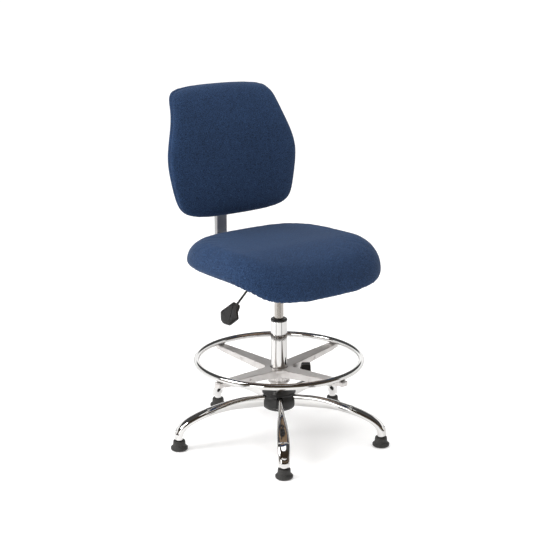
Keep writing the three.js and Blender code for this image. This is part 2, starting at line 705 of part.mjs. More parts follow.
// One layer of the backrest, between two offsets behind its middle surface. A face with a
// sharpness curves back to the layer's other face at the rim, and a face without one is plain.
function backLayer(inset, front, rear, frontSharpness, rearSharpness) {
  const rimShare = 0.3;
  const place = (x, fromMiddle, side, s) => {
    const z = BACK_MIDDLE + fromMiddle;
    const [face, other, sharpness] = side > 0 ? [front, rear, frontSharpness] : [rear, front, rearSharpness];
    const rim = other + (face - other) * rimShare;
    const offset = sharpness ? rim + (face - rim) * rounding(s, sharpness) : face;
    return new THREE.Vector3(x, backMiddle(x, z) + offset, z);
  };
  return pad(backOutline(inset), place, PAD_SIDES, [0.4, 0.7, 0.9, 1]);
}

const backScrewSides = [-1, 1];
const behindBack = (solid, x = 0) => solid.rotateX(-Math.PI / 2).translate(x, 0, BRACKET_Z);
const backScrewHoles = (low, high) => (
  backScrewSides.map((side) => behindBack(cylinder(BOLT_HOLE_R, low, high, 8), side * BRACKET_SCREW_X)));

function buildBackrest() {
  const half = BACK_T / 2;
  const boardFront = BACK_SEAM - 6;
  const boardRear = BACK_SEAM + 4;
  const boardSpace = backLayer(BACK_BOARD_INSET - GAP, boardFront - GAP, boardRear + GAP, 0, 0);
  const screwHoles = backScrewHoles(150, 400);
  add('back_board', cut(backLayer(BACK_BOARD_INSET, boardFront, boardRear, 0, 0), ...screwHoles), plywood);
  add('back_cushion', cut(backLayer(0, -half, BACK_SEAM, 5, 0), boardSpace), blueFabric);
  const rearPanel = backLayer(BACK_PANEL_INSET, BACK_SEAM + GAP, half, 0, 7);
  add('back_rear_panel', cut(rearPanel, boardSpace, ...screwHoles), blueFabric);
}

// ---------------------------------------------------------------- J-bar and its bracket

const rearFaceOfBack = (z) => backMiddle(0, z) + BACK_T / 2;

function bracketSolid() {
  const inX = BAR_W / 2 + SLIDE_SLACK;
  const inY = BAR_T / 2 + SLIDE_SLACK;
  const outX = inX + BRACKET_WALL;
  const outY = inY + BRACKET_WALL;
  const low = BRACKET_Z - SLEEVE_HALF_H;
  const high = BRACKET_Z + SLEEVE_HALF_H;
  const edge = (z) => {
    const y = rearFaceOfBack(z) + BRACKET_STAND_OFF;
    const [w, t] = [BRACKET_HALF_W, PLATE_T];
    return [[-w, y], [w, y], [w, y + t], [-w, y + t]].map(([x, at]) => new THREE.Vector3(x, at, z));
  };
  const plate = loft([edge(BRACKET_Z - BRACKET_HALF_H), edge(BRACKET_Z + BRACKET_HALF_H)]);
  const sleeve = box(-outX, outX, BAR_Y - outY, BAR_Y + outY, low, high);
  const webFront = rearFaceOfBack(BRACKET_Z + 30) + BRACKET_STAND_OFF + 1;
  const web = box(-20, 20, webFront, BAR_Y - inY - 1, low + 10, high - 10);
  const bore = box(-inX, inX, BAR_Y - inY, BAR_Y + inY, low - 10, high + 10);
  const studHole = behindBack(cylinder(4.4, BAR_Y, BAR_Y + 40, 16));
  return cut(join(plate, sleeve, web), bore, studHole, ...backScrewHoles(BRACKET_SCREW_TIP, BAR_Y - outY - 1));
}

function buildBar() {
  const start = new THREE.Vector3(0, BAR_START_Y, BAR_Z);
  const corner = new THREE.Vector3(0, BAR_Y, BAR_Z);
  const end = new THREE.Vector3(0, BAR_Y, BAR_TOP);
  const path = bentPath(start, corner, end, BAR_BEND_R, 7);
  add('j_bar', bar(path, BAR_W / 2, BAR_T / 2, new THREE.Vector3(1, 0, 0), 3, 16), steel);
  add('back_bracket', bracketSolid(), blackSteel);
  const headLow = rearFaceOfBack(BRACKET_Z) + 5.5;
  const screw = [
    [0, BRACKET_SCREW_TIP], [BOLT_R, BRACKET_SCREW_TIP], [BOLT_R, headLow], [BOLT_HEAD_R, headLow],
    [BOLT_HEAD_R, headLow + BOLT_HEAD_H], [0, headLow + BOLT_HEAD_H],
  ];
  backScrewSides.forEach((side, i) => {
    add(`back_screw_${i + 1}`, behindBack(revolve(screw, 8), side * BRACKET_SCREW_X), steel);
  });
  const knob = lobedKnob(22, 6, BAR_Y + 20, BAR_Y + 39, [4, BAR_Y + BAR_T / 2 + GAP]);
  add('back_knob', behindBack(knob), blackPlastic);
}

// ---------------------------------------------------------------- assembly

buildLegs();
buildHub();
buildColumn();
buildLiftRod();
buildStrokeTube();
buildFootRing();
buildSeat();
buildMechanism();
buildLever();
buildBackrest();
buildBar();

export default chair;
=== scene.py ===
import math

import bmesh
import bpy
import numpy as np
from mathutils import Matrix, Vector


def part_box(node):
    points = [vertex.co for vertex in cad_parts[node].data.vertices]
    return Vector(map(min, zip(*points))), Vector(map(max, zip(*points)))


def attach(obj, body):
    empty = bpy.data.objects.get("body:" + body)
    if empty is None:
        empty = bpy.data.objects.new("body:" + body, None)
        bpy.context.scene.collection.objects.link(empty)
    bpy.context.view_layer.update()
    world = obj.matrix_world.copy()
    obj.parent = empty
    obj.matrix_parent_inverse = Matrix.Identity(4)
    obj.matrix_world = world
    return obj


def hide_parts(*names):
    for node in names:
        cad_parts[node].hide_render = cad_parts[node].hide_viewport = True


# The looks of a drafting chair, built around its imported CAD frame.
# Shapes are in millimetres from the column axis, and piece() turns them into metres in the frame.
# The chair faces -Y, and the sitter's right is -X.

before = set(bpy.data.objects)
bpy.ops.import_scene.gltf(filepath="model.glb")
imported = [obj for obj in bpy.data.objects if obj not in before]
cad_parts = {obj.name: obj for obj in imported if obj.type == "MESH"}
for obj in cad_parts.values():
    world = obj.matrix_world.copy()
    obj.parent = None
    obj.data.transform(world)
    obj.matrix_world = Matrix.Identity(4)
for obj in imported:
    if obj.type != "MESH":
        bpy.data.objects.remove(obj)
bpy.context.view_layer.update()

# ---------------- driving dimensions, in millimetres

MM = 0.001
TAU = 2 * math.pi
_column_low, _column_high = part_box("column_tube")
AXIS_Y = (_column_low.y + _column_high.y) / 2  # the column stands a little in front of the origin

# base
LEG_ANGLES = [36 + 72 * i for i in range(5)]  # degrees from -Y, counter-clockwise from above
LEG_STATIONS = [  # radius, height of the middle, section height, width
    (33.9, 118.5, 37, 17), (70, 119.5, 37, 17), (113, 120, 36, 18), (152, 118, 31, 22),
    (190, 112.5, 25.5, 29), (228, 104, 22, 35), (266, 91.5, 20.5, 38), (294, 77.5, 21, 38),
    (310, 63.5, 23, 36), (318.5, 49, 25.5, 34), (320.5, 35, 27, 33),
]
LEG_SECTION = 2.6  # superellipse exponent of the pressed tube
LEG_WALL = 1.8
GLIDE_CIRCLE_R = 317.5
GLIDE_R = 25.5
GLIDE_H = 29.5
LEG_CUT_Z = 41  # the slanting cut passes here on the glide circle
LEG_CUT_START = 290
DIMPLE_PLACE = 226  # the locating mark on a leg's top, out from the column
DIMPLE_DEPTH = 1.1
DIMPLE_R = 4
STEM_R = 5.9
SOCKET_R = 11
SOCKET_BOTTOM = 30.2
SOCKET_TOP = 62
HUB_SEAM = 103

# column
COLUMN_R = 25
COLUMN_BORE_R = 23.4
COLUMN_BOTTOM = 92
COLUMN_TAPER_TOP = 140
COLUMN_TOP = 368
STROKE_R = 14
STROKE_BOTTOM = 229
STROKE_TAPER = 484
STROKE_TOP = 520

# foot ring
RING_R = 248.5
RING_TUBE_R = 9.5
RING_Z = 246
ARM_ANGLES = [8.35 + 90 * i for i in range(4)]
ARM_START = (29, 24.6, 199)  # distance out, half width and underside of an arm
ARM_END = (242, 15, 221)
CASTING_WALL = 3.6
SPIDER_TOP = 223
SPIDER_BOTTOM = 175
SADDLE_Z = 235.8
COLLAR_R = 29.5
BORE_R = 26.6
RING_KNOB_ANGLE = 53
RING_KNOB_Z = 205
RING_SCREW_R = 3

# seat
SEAT_TOP = 621
SEAT_BOTTOM = 543
SEAT_FRONT = 254
SEAT_REAR = 218
SEAT_HALF_FRONT = 269
SEAT_HALF_REAR = 254
SEAT_CORNER = 3.35
SEAT_TOP_EDGE = 54  # radius of the rounded upper edge
SEAT_LOW_EDGE = 21
SEAT_DROOP = 55
SEAT_DROOP_START = 76
GATHER_DEPTH = 6.5  # how far the staples draw the cover in
GATHER_LIFT = 0.6
GATHER_PLACES = (  # angle in degrees, width in degrees, depth
    (45, 8, 0.6), (148, 8, 0.7), (203, 13, 1.0), (231, 7, 0.7), (314, 8, 0.7),
)
HANGING_CORNERS = (229, 312)  # the front corners of the cover hang a little lower
HANGING_WIDTH = 13  # degrees
CORNER_HANG = 6
FRONT_HANG = 3
STAPLE_TOP = 16  # the cover is held from here down to the underside
BOARD_BOTTOM = 542
HEM_BOTTOM = 539.4  # the cover is drawn in under the board and stapled there
HEM_REACH = 54
HEM_PLEATS = 84
HEM_WAVE = 1.5
HEM_PLEAT_DEPTH = 0.7
RIM_STEPS = 720  # points in one turn round the rim

# seat mechanism and lever
HOUSING_HALF_X = 46
HOUSING_FRONT = 70
HOUSING_REAR = 150
HOUSING_BOTTOM = 504
DEPTH_KNOB_Y = 122
LEVER_Z = 529
LEVER_ROD_R = 3.3
LEVER_DROP = math.radians(43)
LEVER_CORNER = Vector((-67, 0, LEVER_Z))
PADDLE_REACH = 117
PADDLE_ROLL = math.radians(-20)
PADDLE_T = 11

# J-bar and backrest
BAR_W = 40
BAR_T = 18
BAR_Z = 524.6
BAR_Y = 291
BAR_START_Y = 75
BAR_BEND_R = 60
BAR_TOP = 848
BAR_SLACK = 0.6  # play of the bar in its openings
BACK_TOP = 1050.4
BACK_BOTTOM = 658.5
BACK_T = 70.6
BACK_WRAP = 18.2
BACK_WRAP_HALF = 230
BACK_TOP_CORNER = 7.89  # superellipse exponents of the corners, and of the edge
BACK_LOW_CORNER = 4.95
BACK_SECTION = 2.6
BACK_TOP_BOW = 10.4  # how far the ends of the top and low edges curve away
BACK_LOW_BOW = 8.8
BACK_SEAM = -2  # offset of the seam behind the middle surface
BACK_HEIGHTS = (660, 750, 850, 950, 1050)
BACK_HALF_WIDTHS = (240.1, 227.2, 237.2, 209.2, 205.6)
BACK_MIDDLE_Y = (196.7, 210.7, 220, 240.4, 290.2)
BRACKET_Z = 745
BRACKET_SCREW_X = 32
BRACKET_WALL = 4
BRACKET_HALF_H = 40

# cloth simulation of the two cushions: the form starts smaller by SHRINK, and pressure swells it
CLOTH_FRAMES = 20
CLOTH_PRESSURE = 4
EVENING_ROUNDS = 60  # steps of averaging that leave only the creases
SEAT_VOXEL = 4.8
SEAT_SHRINK = 6.5
SEAT_CAP = 24  # the furthest that the cloth may move
SEAT_CREASES = 0.2  # share of the simulated creases that the taut cover shows
BACK_VOXEL = 5
BACK_SHRINK = 5
BACK_CAP = 22
BACK_CREASES = 0.12
SEAM_HALF = 8  # the cover is drawn in this far each side of the seam
SEAM_ROLL = 3.6
SEAM_GAP = 0.35

# ---------------- camera and studio, in metres

CAMERA_AZIMUTH = math.radians(-38.65)
CAMERA_ELEVATION = math.radians(14.64)
CAMERA_DISTANCE = 3.723
CAMERA_TARGET_Z = 0.531
SENSOR = 36  # millimetres
LENS = 84.5
LENS_SHIFT = -0.0214  # puts the column a little right of the picture's middle
STUDIO_TARGET_Z = 0.5
DARK_BROWN = (0.028, 0.02, 0.013)
ROOM_BROWN = (0.115, 0.09, 0.065)
ROOM_GREY = (0.07, 0.065, 0.06)
WORLD_STRENGTH = 1.55
FLOOR_R = 40
FLOOR_GLOW = 0.19
SURROUND_R = 12
SURROUND_INNER_R = 0.45


def aim(obj, place, target):
    obj.location = place
    obj.rotation_euler = (Vector(target) - Vector(place)).to_track_quat("-Z", "Y").to_euler()


def from_target(azimuth, elevation, distance, target):
    """The point at an azimuth and elevation from the target. Azimuth 0 looks along +Y."""
    level = math.cos(elevation)
    back = Vector((math.sin(azimuth) * level, -math.cos(azimuth) * level, math.sin(elevation)))
    return Vector(target) + back * distance


def link(obj):
    bpy.context.scene.collection.objects.link(obj)
    return obj


def make_camera():
    data = bpy.data.cameras.new("camera")
    data.sensor_width = SENSOR
    data.lens = LENS
    data.shift_x = LENS_SHIFT
    camera = link(bpy.data.objects.new("camera", data))
    target = (0, AXIS_Y, CAMERA_TARGET_Z)
    aim(camera, from_target(CAMERA_AZIMUTH, CAMERA_ELEVATION, CAMERA_DISTANCE, target), target)
    bpy.context.scene.camera = camera


def softbox(name, azimuth, elevation, distance, size, power, in_chrome=True):
    data = bpy.data.lights.new(name, "AREA")
    data.shape = "RECTANGLE"
    data.size, data.size_y = size
    data.energy = power
    light = link(bpy.data.objects.new(name, data))
    light.visible_glossy = in_chrome
    target = (0, AXIS_Y, STUDIO_TARGET_Z)
    aim(light, from_target(math.radians(azimuth), math.radians(elevation), distance, target), target)


# ---------------- node graphs

class Graph:
    """Adds nodes to a material or world, and links them."""

    def __init__(self, owner):
        owner.use_nodes = True
        self.nodes = owner.node_tree.nodes
        self.links = owner.node_tree.links
        self.nodes.clear()

    def add(self, kind, links=None, values=None, **settings):
        """A new node. links maps its inputs to other nodes' outputs, and values to plain values."""
        node = self.nodes.new("ShaderNode" + kind)
        for name, value in settings.items():
            setattr(node, name, value)
        for name, value in (values or {}).items():
            node.inputs[name].default_value = value
        for name, output in (links or {}).items():
            self.links.new(output, node.inputs[name])
        return node

    def ramp(self, factor, *stops):
        """A colour ramp. Each stop is (position, value or (r, g, b))."""
        node = self.add("ValToRGB", {"Fac": factor})
        elements = node.color_ramp.elements
        while len(elements) < len(stops):
            elements.new(0.5)
        for element, (position, colour) in zip(elements, stops):
            element.position = position
            rgb = (colour,) * 3 if isinstance(colour, (int, float)) else colour
            element.color = (*rgb, 1)
        return node.outputs["Color"]

    def spread(self, factor, low, high):
        """A number that runs from low to high as the factor runs from 0 to 1."""
        node = self.add("MapRange", {"Value": factor}, {"To Min": low, "To Max": high})
        return node.outputs["Result"]

    def blend(self, share, first, second):
        """One colour to another as the share runs from 0 to 1."""
        node = self.add("Mix", {"Factor": share, "A": first, "B": second}, data_type="RGBA")
        return node.outputs["Result"]

    def multiply(self, first, second):
        """Two colours multiplied."""
        node = self.add(
            "Mix", {"A": first, "B": second}, {"Factor": 1.0}, data_type="RGBA", blend_type="MULTIPLY")
        return node.outputs["Result"]

    def reach(self, places, direction):
        """How far places lie along a direction."""
        node = self.add("VectorMath", {0: places}, {1: direction}, operation="DOT_PRODUCT")
        return node.outputs["Value"]

    def places(self, scale=(1, 1, 1)):
        """Object coordinates, stretched by a scale along each axis."""
        source = self.add("TexCoord").outputs["Object"]
        return self.add("Mapping", {"Vector": source}, {"Scale": scale}).outputs["Vector"]

    def noise(self, scale, detail=3, places=None):
        node = self.add("TexNoise", {"Vector": places or self.places()}, {"Scale": scale, "Detail": detail})
        return node.outputs["Fac"]

    def cells(self, scale, places=None):
        node = self.add("TexVoronoi", {"Vector": places or self.places()}, {"Scale": scale})
        return node.outputs["Distance"]

    def bump(self, height, distance, strength=1.0, under=None):
        links = {"Height": height}
        if under is not None:
            links["Normal"] = under
        node = self.add("Bump", links, {"Distance": distance, "Strength": strength})
        return node.outputs["Normal"]


def material(name, links, **values):
    """A Principled material. links(graph) gives the sockets that vary over the surface."""
    made = bpy.data.materials.new(name)
    graph = Graph(made)
    shader = graph.add("BsdfPrincipled", links(graph), values)
    graph.add("OutputMaterial", {"Surface": shader.outputs["BSDF"]})
    return made


def soft_studio(g, height, near):
    """The studio as matt surfaces see it: bright overhead, and a dim room on the camera's side."""
    white = g.ramp(height, (0, 0.64), (0.72, 0.75), (0.78, 0.25), (0.86, 0.25), (0.9, 1.2))
    room = g.ramp(height, (0.45, ROOM_BROWN), (0.55, ROOM_GREY), (0.78, ROOM_GREY), (0.84, 1.2))
    return g.blend(near, white, room)


def sharp_studio(g, height, near, facing):
    """The studio as the chrome shows it: a sweep of white paper with dark edges and a thin dark horizon,
    a dark room on the camera's side, and a small bright lamp straight above."""
    edges = g.ramp(g.spread(facing, 0.5, 1), (0.06, 1), (0.09, 0.06), (0.2, 0.06), (0.24, 1))
    sweep = g.ramp(
        height, (0.02, 0.8), (0.035, 0.1), (0.06, 0.1), (0.075, 0.8), (0.33, 0.8), (0.37, 0.05),
        (0.975, 0.05), (0.983, 1.3))
    paper = g.blend(edges, g.ramp(height, (0, 0.05)), sweep)
    room = g.ramp(
        height, (0.1, DARK_BROWN), (0.3, ROOM_BROWN), (0.45, DARK_BROWN), (0.62, ROOM_GREY),
        (0.68, DARK_BROWN), (0.975, DARK_BROWN), (0.983, 1.3))
    return g.blend(near, paper, room)


def make_world():
    """A white studio. Seen directly it is plain white, and it lights matt surfaces and chrome differently."""
    world = bpy.data.worlds.new("studio")
    bpy.context.scene.world = world
    graph = Graph(world)
    direction = graph.add("TexCoord").outputs["Generated"]
    height = graph.add("SeparateXYZ", {"Vector": direction}).outputs["Z"]
    facing = graph.reach(direction, from_target(CAMERA_AZIMUTH, 0, 1, (0, 0, 0)))
    near = graph.ramp(facing, (0.02, 0), (0.12, 1))
    rays = graph.add("LightPath").outputs
    colour = graph.blend(
        rays["Is Glossy Ray"], soft_studio(graph, height, near), sharp_studio(graph, height, near, facing))
    lit = graph.add("Background", {"Color": colour}, {"Strength": WORLD_STRENGTH})
    seen = graph.add("Background", values={"Color": (1, 1, 1, 1), "Strength": 1.0})
    shader = graph.add("MixShader", {
        "Fac": rays["Is Camera Ray"], 1: lit.outputs["Background"], 2: seen.outputs["Background"]})
    graph.add("OutputWorld", {"Surface": shader.outputs["Shader"]})


def disc(name, radius, inner, height, look):
    """A flat ring or disc of the studio, in metres."""
    count = 128
    t = np.arange(count) * TAU / count
    circle = np.stack([np.cos(t), np.sin(t), np.zeros(count)], 1)
    if inner:
        shape = skin([circle * r + (0, 0, height) for r in (inner, radius)], False, False)
    else:
        shape = (circle * radius + (0, 0, height), [list(range(count))])
    obj = new_object(name, shape, 1)
    obj.data.materials.append(look)
    return obj


def make_floor():
    disc("floor", FLOOR_R, 0, -0.0004, material(
        "floor_paint",
        lambda g: {"Roughness": g.spread(g.noise(3), 0.85, 0.95)},
        **{"Base Color": (0.95, 0.95, 0.95, 1), "Specular IOR Level": 0.1,
           "Emission Color": (1, 1, 1, 1), "Emission Strength": FLOOR_GLOW}))


def make_dark_surround():
    """The end of the white sweep, which only the chrome shows: a floor that is dark from a step away from the
    chair, with thin dark lines across it."""
    def links(g):
        towards = from_target(CAMERA_AZIMUTH, 0, 1, (0, 0, 0))
        direction = g.add("VectorMath", {0: g.places()}, operation="NORMALIZE").outputs["Vector"]
        lines = g.ramp(
            g.spread(g.reach(direction, towards), 0.5, 1), (0.06, 1), (0.09, 0.1), (0.2, 0.1), (0.24, 1),
            (0.87, 1), (0.885, 0.12), (0.91, 0.12), (0.925, 1))
        away = g.reach(g.places(), towards)
        share = g.add("MapRange", {"Value": away}, {"From Min": 1.2, "From Max": 2.4}).outputs["Result"]
        floor = g.ramp(
            share, (0, 0.94), (0.2, (0.62, 0.58, 0.52)), (0.35, (0.22, 0.17, 0.12)), (1, DARK_BROWN))
        return {"Base Color": g.blend(lines, g.ramp(share, (0, 0.02)), floor)}

    look = material("surround_floor", links, Roughness=0.9)
    surround = disc("surround", SURROUND_R, SURROUND_INNER_R, 0.0005, look)
    for ray in ("camera", "diffuse", "transmission", "volume_scatter", "shadow"):
        setattr(surround, "visible_" + ray, False)


def make_studio():
    make_camera()
    make_world()
    make_floor()
    make_dark_surround()
    softbox("key", -112, 38, 2.8, (1.3, 1.3), 44)
    softbox("side_fill", -66, 6, 2.7, (0.8, 1.3), 11)
    softbox("overhead", 0, 88, 2.9, (2.4, 2.4), 21, in_chrome=False)
    bpy.context.scene.view_settings.view_transform = "Standard"


# ---------------- materials

def chrome():
    return material(
        "chrome",
        lambda g: {
            "Roughness": g.spread(g.noise(22), 0.035, 0.075),
            "Base Color": g.ramp(g.noise(9), (0.3, (0.66, 0.65, 0.64)), (0.7, (0.71, 0.705, 0.695))),
        },
        Metallic=1.0)


def satin_steel(name="satin_steel", tone=(0.45, 0.425, 0.40), grain=(60, 60, 900), metallic=1.0, rough=0.2):
    """Ground steel, with fine marks along its grain."""
    def links(g):
        marks = g.noise(1, 4, g.places(grain))
        return {
            "Base Color": g.ramp(marks, (0.3, tuple(0.95 * c for c in tone)), (0.7, tone)),
            "Roughness": g.spread(marks, rough, rough + 0.08),
            "Normal": g.bump(marks, 0.00001, 0.2),
        }
    return material(name, links, Metallic=metallic)


def cast_aluminium():
    def links(g):
        skin = g.noise(420, 4)
        blotches = g.noise(28, 4)
        return {
            "Base Color": g.ramp(blotches, (0.3, (0.63, 0.605, 0.59)), (0.7, (0.73, 0.71, 0.695))),
            "Roughness": g.spread(blotches, 0.38, 0.52),
            "Normal": g.bump(skin, 0.00018, 0.6),
        }
    return material("cast_aluminium", links, Metallic=0.85)


def black_plastic(name="black_plastic", tone=0.016, low=0.34, high=0.46, gloss=0.5):
    """Moulded plastic with a fine leathery grain."""
    def links(g):
        grain = g.cells(1500)
        smudge = g.noise(45, 3)
        return {
            "Base Color": g.ramp(smudge, (0.3, tone * 0.85), (0.75, tone * 1.2)),
            "Roughness": g.spread(smudge, low, high),
            "Normal": g.bump(grain, 0.00006, 0.5),
        }
    return material(name, links, **{"Specular IOR Level": gloss})


def rubber():
    def links(g):
        scuffs = g.noise(160, 5, g.places((1, 1, 3)))
        return {
            "Base Color": g.ramp(scuffs, (0.35, (0.020, 0.020, 0.019)), (0.8, (0.052, 0.05, 0.047))),
            "Roughness": g.spread(scuffs, 0.45, 0.75),
            "Normal": g.bump(scuffs, 0.00012, 0.5),
        }
    return material("black_rubber", links)


def powder_coat():
    def links(g):
        peel = g.noise(650, 2)
        return {
            "Base Color": g.ramp(g.noise(30), (0.3, (0.018, 0.018, 0.019)), (0.7, (0.027, 0.027, 0.028))),
            "Roughness": g.spread(g.noise(80), 0.36, 0.48),
            "Normal": g.bump(peel, 0.0001, 0.5),
        }
    return material("black_powder_coat", links, **{"Coat Weight": 0.15})


def blue_fabric():
    """A fine crepe weave: small nubs in slightly different blues, under a faint nap."""
    def links(g):
        threads = g.cells(780, g.places((1, 1, 0.8)))
        speckle = g.noise(620, 1)
        nubs = g.ramp(threads, (0.1, (0.030, 0.064, 0.142)), (0.75, (0.009, 0.023, 0.062)))
        flecks = g.ramp(speckle, (0.37, 0.45), (0.63, 1.65))
        shades = g.ramp(g.noise(7, 3), (0.3, 0.92), (0.7, 1.08))
        return {
            "Base Color": g.multiply(g.multiply(nubs, flecks), shades),
            "Roughness": g.spread(speckle, 0.82, 0.98),
            "Normal": g.bump(threads, 0.0003, 0.6, g.bump(speckle, 0.0002, 0.3)),
        }
    return material(
        "blue_fabric", links,
        **{"Sheen Weight": 0.12, "Sheen Roughness": 0.4, "Sheen Tint": (0.6, 0.75, 1, 1),
           "Specular IOR Level": 0.2})


def plywood():
    def links(g):
        grain = g.noise(14, 5, g.places((1, 12, 4)))
        return {
            "Base Color": g.ramp(grain, (0.3, (0.20, 0.125, 0.07)), (0.7, (0.33, 0.225, 0.135))),
            "Roughness": g.spread(grain, 0.55, 0.75),
            "Normal": g.bump(grain, 0.0002, 0.4),
        }
    return material("plywood", links)


def make_materials():
    return {
        "chrome": chrome(),
        "steel": satin_steel(),
        "bar_steel": satin_steel("bar_steel", (0.42, 0.42, 0.425), (900, 900, 25), 0.7, 0.26),
        "cast_aluminium": cast_aluminium(),
        "black_plastic": black_plastic(),
        "paddle_face": black_plastic("paddle_face", 0.03, 0.5, 0.6, 0.3),
        "black_rubber": rubber(),
        "black_steel": powder_coat(),
        "blue_fabric": blue_fabric(),
        "plywood": plywood(),
    }


# ---------------- shapes: (points, faces)

def spoke_matrix(degrees):
    """Turns a shape that points along +X to an angle from -Y."""
    return Matrix.Rotation(math.radians(degrees - 90), 3, "Z")


ALONG_X = Matrix.Rotation(math.pi / 2, 3, "Y")  # turns a shape that stands along +Z
ALONG_Y = Matrix.Rotation(-math.pi / 2, 3, "X")


def placed(shape, matrix=None, offset=(0, 0, 0)):
    points, faces = shape
    points = np.asarray(points, float)
    if matrix is not None:
        points = points @ np.array(matrix, float).T
    return points + np.array(offset, float), faces


def joined(*shapes):
    points, faces, base = [], [], 0
    for some, sides in shapes:
        points.append(np.asarray(some, float))
        faces += [[base + i for i in side] for side in sides]
        base += len(some)
    return np.vstack(points), faces


def rounded(outline, reach, steps=4, closed=True):
    """The outline with each corner drawn as a small curve that starts `reach` before it."""
    points = [np.array(p, float) for p in outline]
    count = len(points)
    result = []
    for i, corner in enumerate(points):
        if not closed and i in (0, count - 1):
            result.append(corner)
            continue
        ends = []
        for other in (points[i - 1], points[(i + 1) % count]):
            span = other - corner
            length = np.linalg.norm(span)
            ends.append(corner + span * min(reach, 0.45 * length) / length)
        for k in range(steps + 1):
            t = k / steps
            result.append((1 - t) ** 2 * ends[0] + 2 * t * (1 - t) * corner + t * t * ends[1])
    return np.array(result)


def strip_faces(rows, columns, closed_rows=False):
    """Quads over rows of points, each row a closed ring."""
    faces = []
    for r in range(rows if closed_rows else rows - 1):
        here, there = r * columns, (r + 1) % rows * columns
        for c in range(columns):
            d = (c + 1) % columns
            faces.append([here + c, here + d, there + d, there + c])
    return faces


def revolved(profile, steps=72):
    """A profile of (radius, height) turned about Z. It ends on the axis at both ends, or closes on itself."""
    profile = np.asarray(profile, float)
    on_axis = profile[0, 0] < 1e-6
    turning = profile[1:-1] if on_axis else profile
    angles = np.arange(steps) * TAU / steps
    ring = np.stack([np.cos(angles), np.sin(angles)], 1)
    points = np.array([[r * c, r * s, z] for r, z in turning for c, s in ring])
    faces = strip_faces(len(turning), steps, not on_axis)
    if on_axis:
        low, high = len(points), len(points) + 1
        points = np.vstack([points, [[0, 0, profile[0, 1]], [0, 0, profile[-1, 1]]]])
        last = (len(turning) - 1) * steps
        for c in range(steps):
            d = (c + 1) % steps
            faces.append([low, d, c])
            faces.append([high, last + c, last + d])
    return points, faces


def turned_part(profile, reach=0.8, steps=72):
    """A lathe-turned or moulded part, with its corners rounded."""
    on_axis = profile[0][0] == 0
    return revolved(rounded(profile, reach, 4, closed=not on_axis), steps)


def skin(rings, cap_start=True, cap_end=True):
    """A skin over rings with the same count of points, with flat ends."""
    rings = np.asarray(rings, float)
    rows, columns = rings.shape[:2]
    faces = strip_faces(rows, columns)
    if cap_start:
        faces.append(list(range(columns))[::-1])
    if cap_end:
        faces.append([(rows - 1) * columns + c for c in range(columns)])
    return rings.reshape(-1, 3), faces


def box(x0, x1, y0, y1, z0, z1):
    return skin([[(x0, y0, z), (x1, y0, z), (x1, y1, z), (x0, y1, z)] for z in (z0, z1)])


def cylinder(radius, low, high, steps=24):
    return revolved([(0, low), (radius, low), (radius, high), (0, high)], steps)


def signed_power(value, power):
    return np.sign(value) * np.abs(value) ** power


def superellipse(exponent, count):
    t = (np.arange(count) + 0.5) * TAU / count
    return np.stack([signed_power(np.cos(t), 2 / exponent), signed_power(np.sin(t), 2 / exponent)], 1)


def smooth_line(stations, count):
    """Points spaced evenly along a smooth curve through stations of any dimension."""
    stations = np.asarray(stations, float)
    lengths = np.linalg.norm(np.diff(stations, axis=0), axis=1)
    knots = np.concatenate([[0], np.cumsum(lengths)])
    slopes = np.gradient(stations, knots, axis=0)
    at = np.linspace(0, knots[-1], count)
    i = np.clip(np.searchsorted(knots, at) - 1, 0, len(stations) - 2)
    span = (knots[i + 1] - knots[i])[:, None]
    t = (at - knots[i])[:, None] / span
    a, b = stations[i], stations[i + 1]
    return (
        (2 * t ** 3 - 3 * t ** 2 + 1) * a + (t ** 3 - 2 * t ** 2 + t) * span * slopes[i]
        + (3 * t ** 2 - 2 * t ** 3) * b + (t ** 3 - t ** 2) * span * slopes[i + 1])


def bent_path(start, corner, end, radius, steps):
    """A line from start to end with one round corner, as points at most a few millimetres apart there."""
    start, corner, end = (Vector(p) for p in (start, corner, end))
    a = (start - corner).normalized()
    b = (end - corner).normalized()
    half = a.angle(b) / 2
    reach = radius / math.tan(half)
    centre = corner + (a + b).normalized() * (radius / math.sin(half))
    first = corner + a * reach - centre
    last = corner + b * reach - centre
    arc = [centre + first.slerp(last, k / steps).normalized() * radius for k in range(steps + 1)]
    return np.array([start, *arc, end])


def with_round_ends(path, radius, steps=4):
    """The path with extra points near each end, and the section's share there, which rounds the ends."""
    def end(tip, inner):
        along = (inner - tip) / np.linalg.norm(inner - tip)
        angles = [k * math.pi / 2 / steps for k in range(steps + 1)]
        return [(tip + along * radius * (1 - math.cos(t)), math.sin(t)) for t in angles][::-1]
    start = end(path[0], path[1])[::-1]
    finish = end(path[-1], path[-2])
    stations = start + [(p, 1) for p in path[1:-1]] + finish
    return np.array([p for p, _ in stations]), [share for _, share in stations]


def swept(path, across, section, end_radius=0):
    """A section of (across, up) pairs swept along a path that lies square to `across`."""
    shares = [1] * len(path)
    if end_radius:
        path, shares = with_round_ends(path, end_radius)
    across = np.array(across, float)
    reach = np.abs(section).max(0)
    rings = []
    for i, point in enumerate(path):
        tangent = path[min(i + 1, len(path) - 1)] - path[max(i - 1, 0)]
        up = np.cross(tangent, across)
        up /= np.linalg.norm(up)
        inset = 1 - end_radius * (1 - shares[i]) / reach
        ring = section * inset
        rings.append(point + ring[:, :1] * across + ring[:, 1:] * up)
    return skin(rings)


def lobed_knob(radius, lobes, depth, profile, steps=20):
    """A knob of (share of the radius, height) rings. Its lobes fade towards the middle."""
    count = lobes * steps
    t = np.arange(count) * TAU / count
    wave = (1 - np.cos(lobes * t)) / 2
    rings = []
    for share, z in profile:
        r = radius * share * (1 - depth * wave * min(share, 1) ** 4)
        rings.append(np.stack([r * np.cos(t), r * np.sin(t), np.full(count, z)], 1))
    return skin(rings)


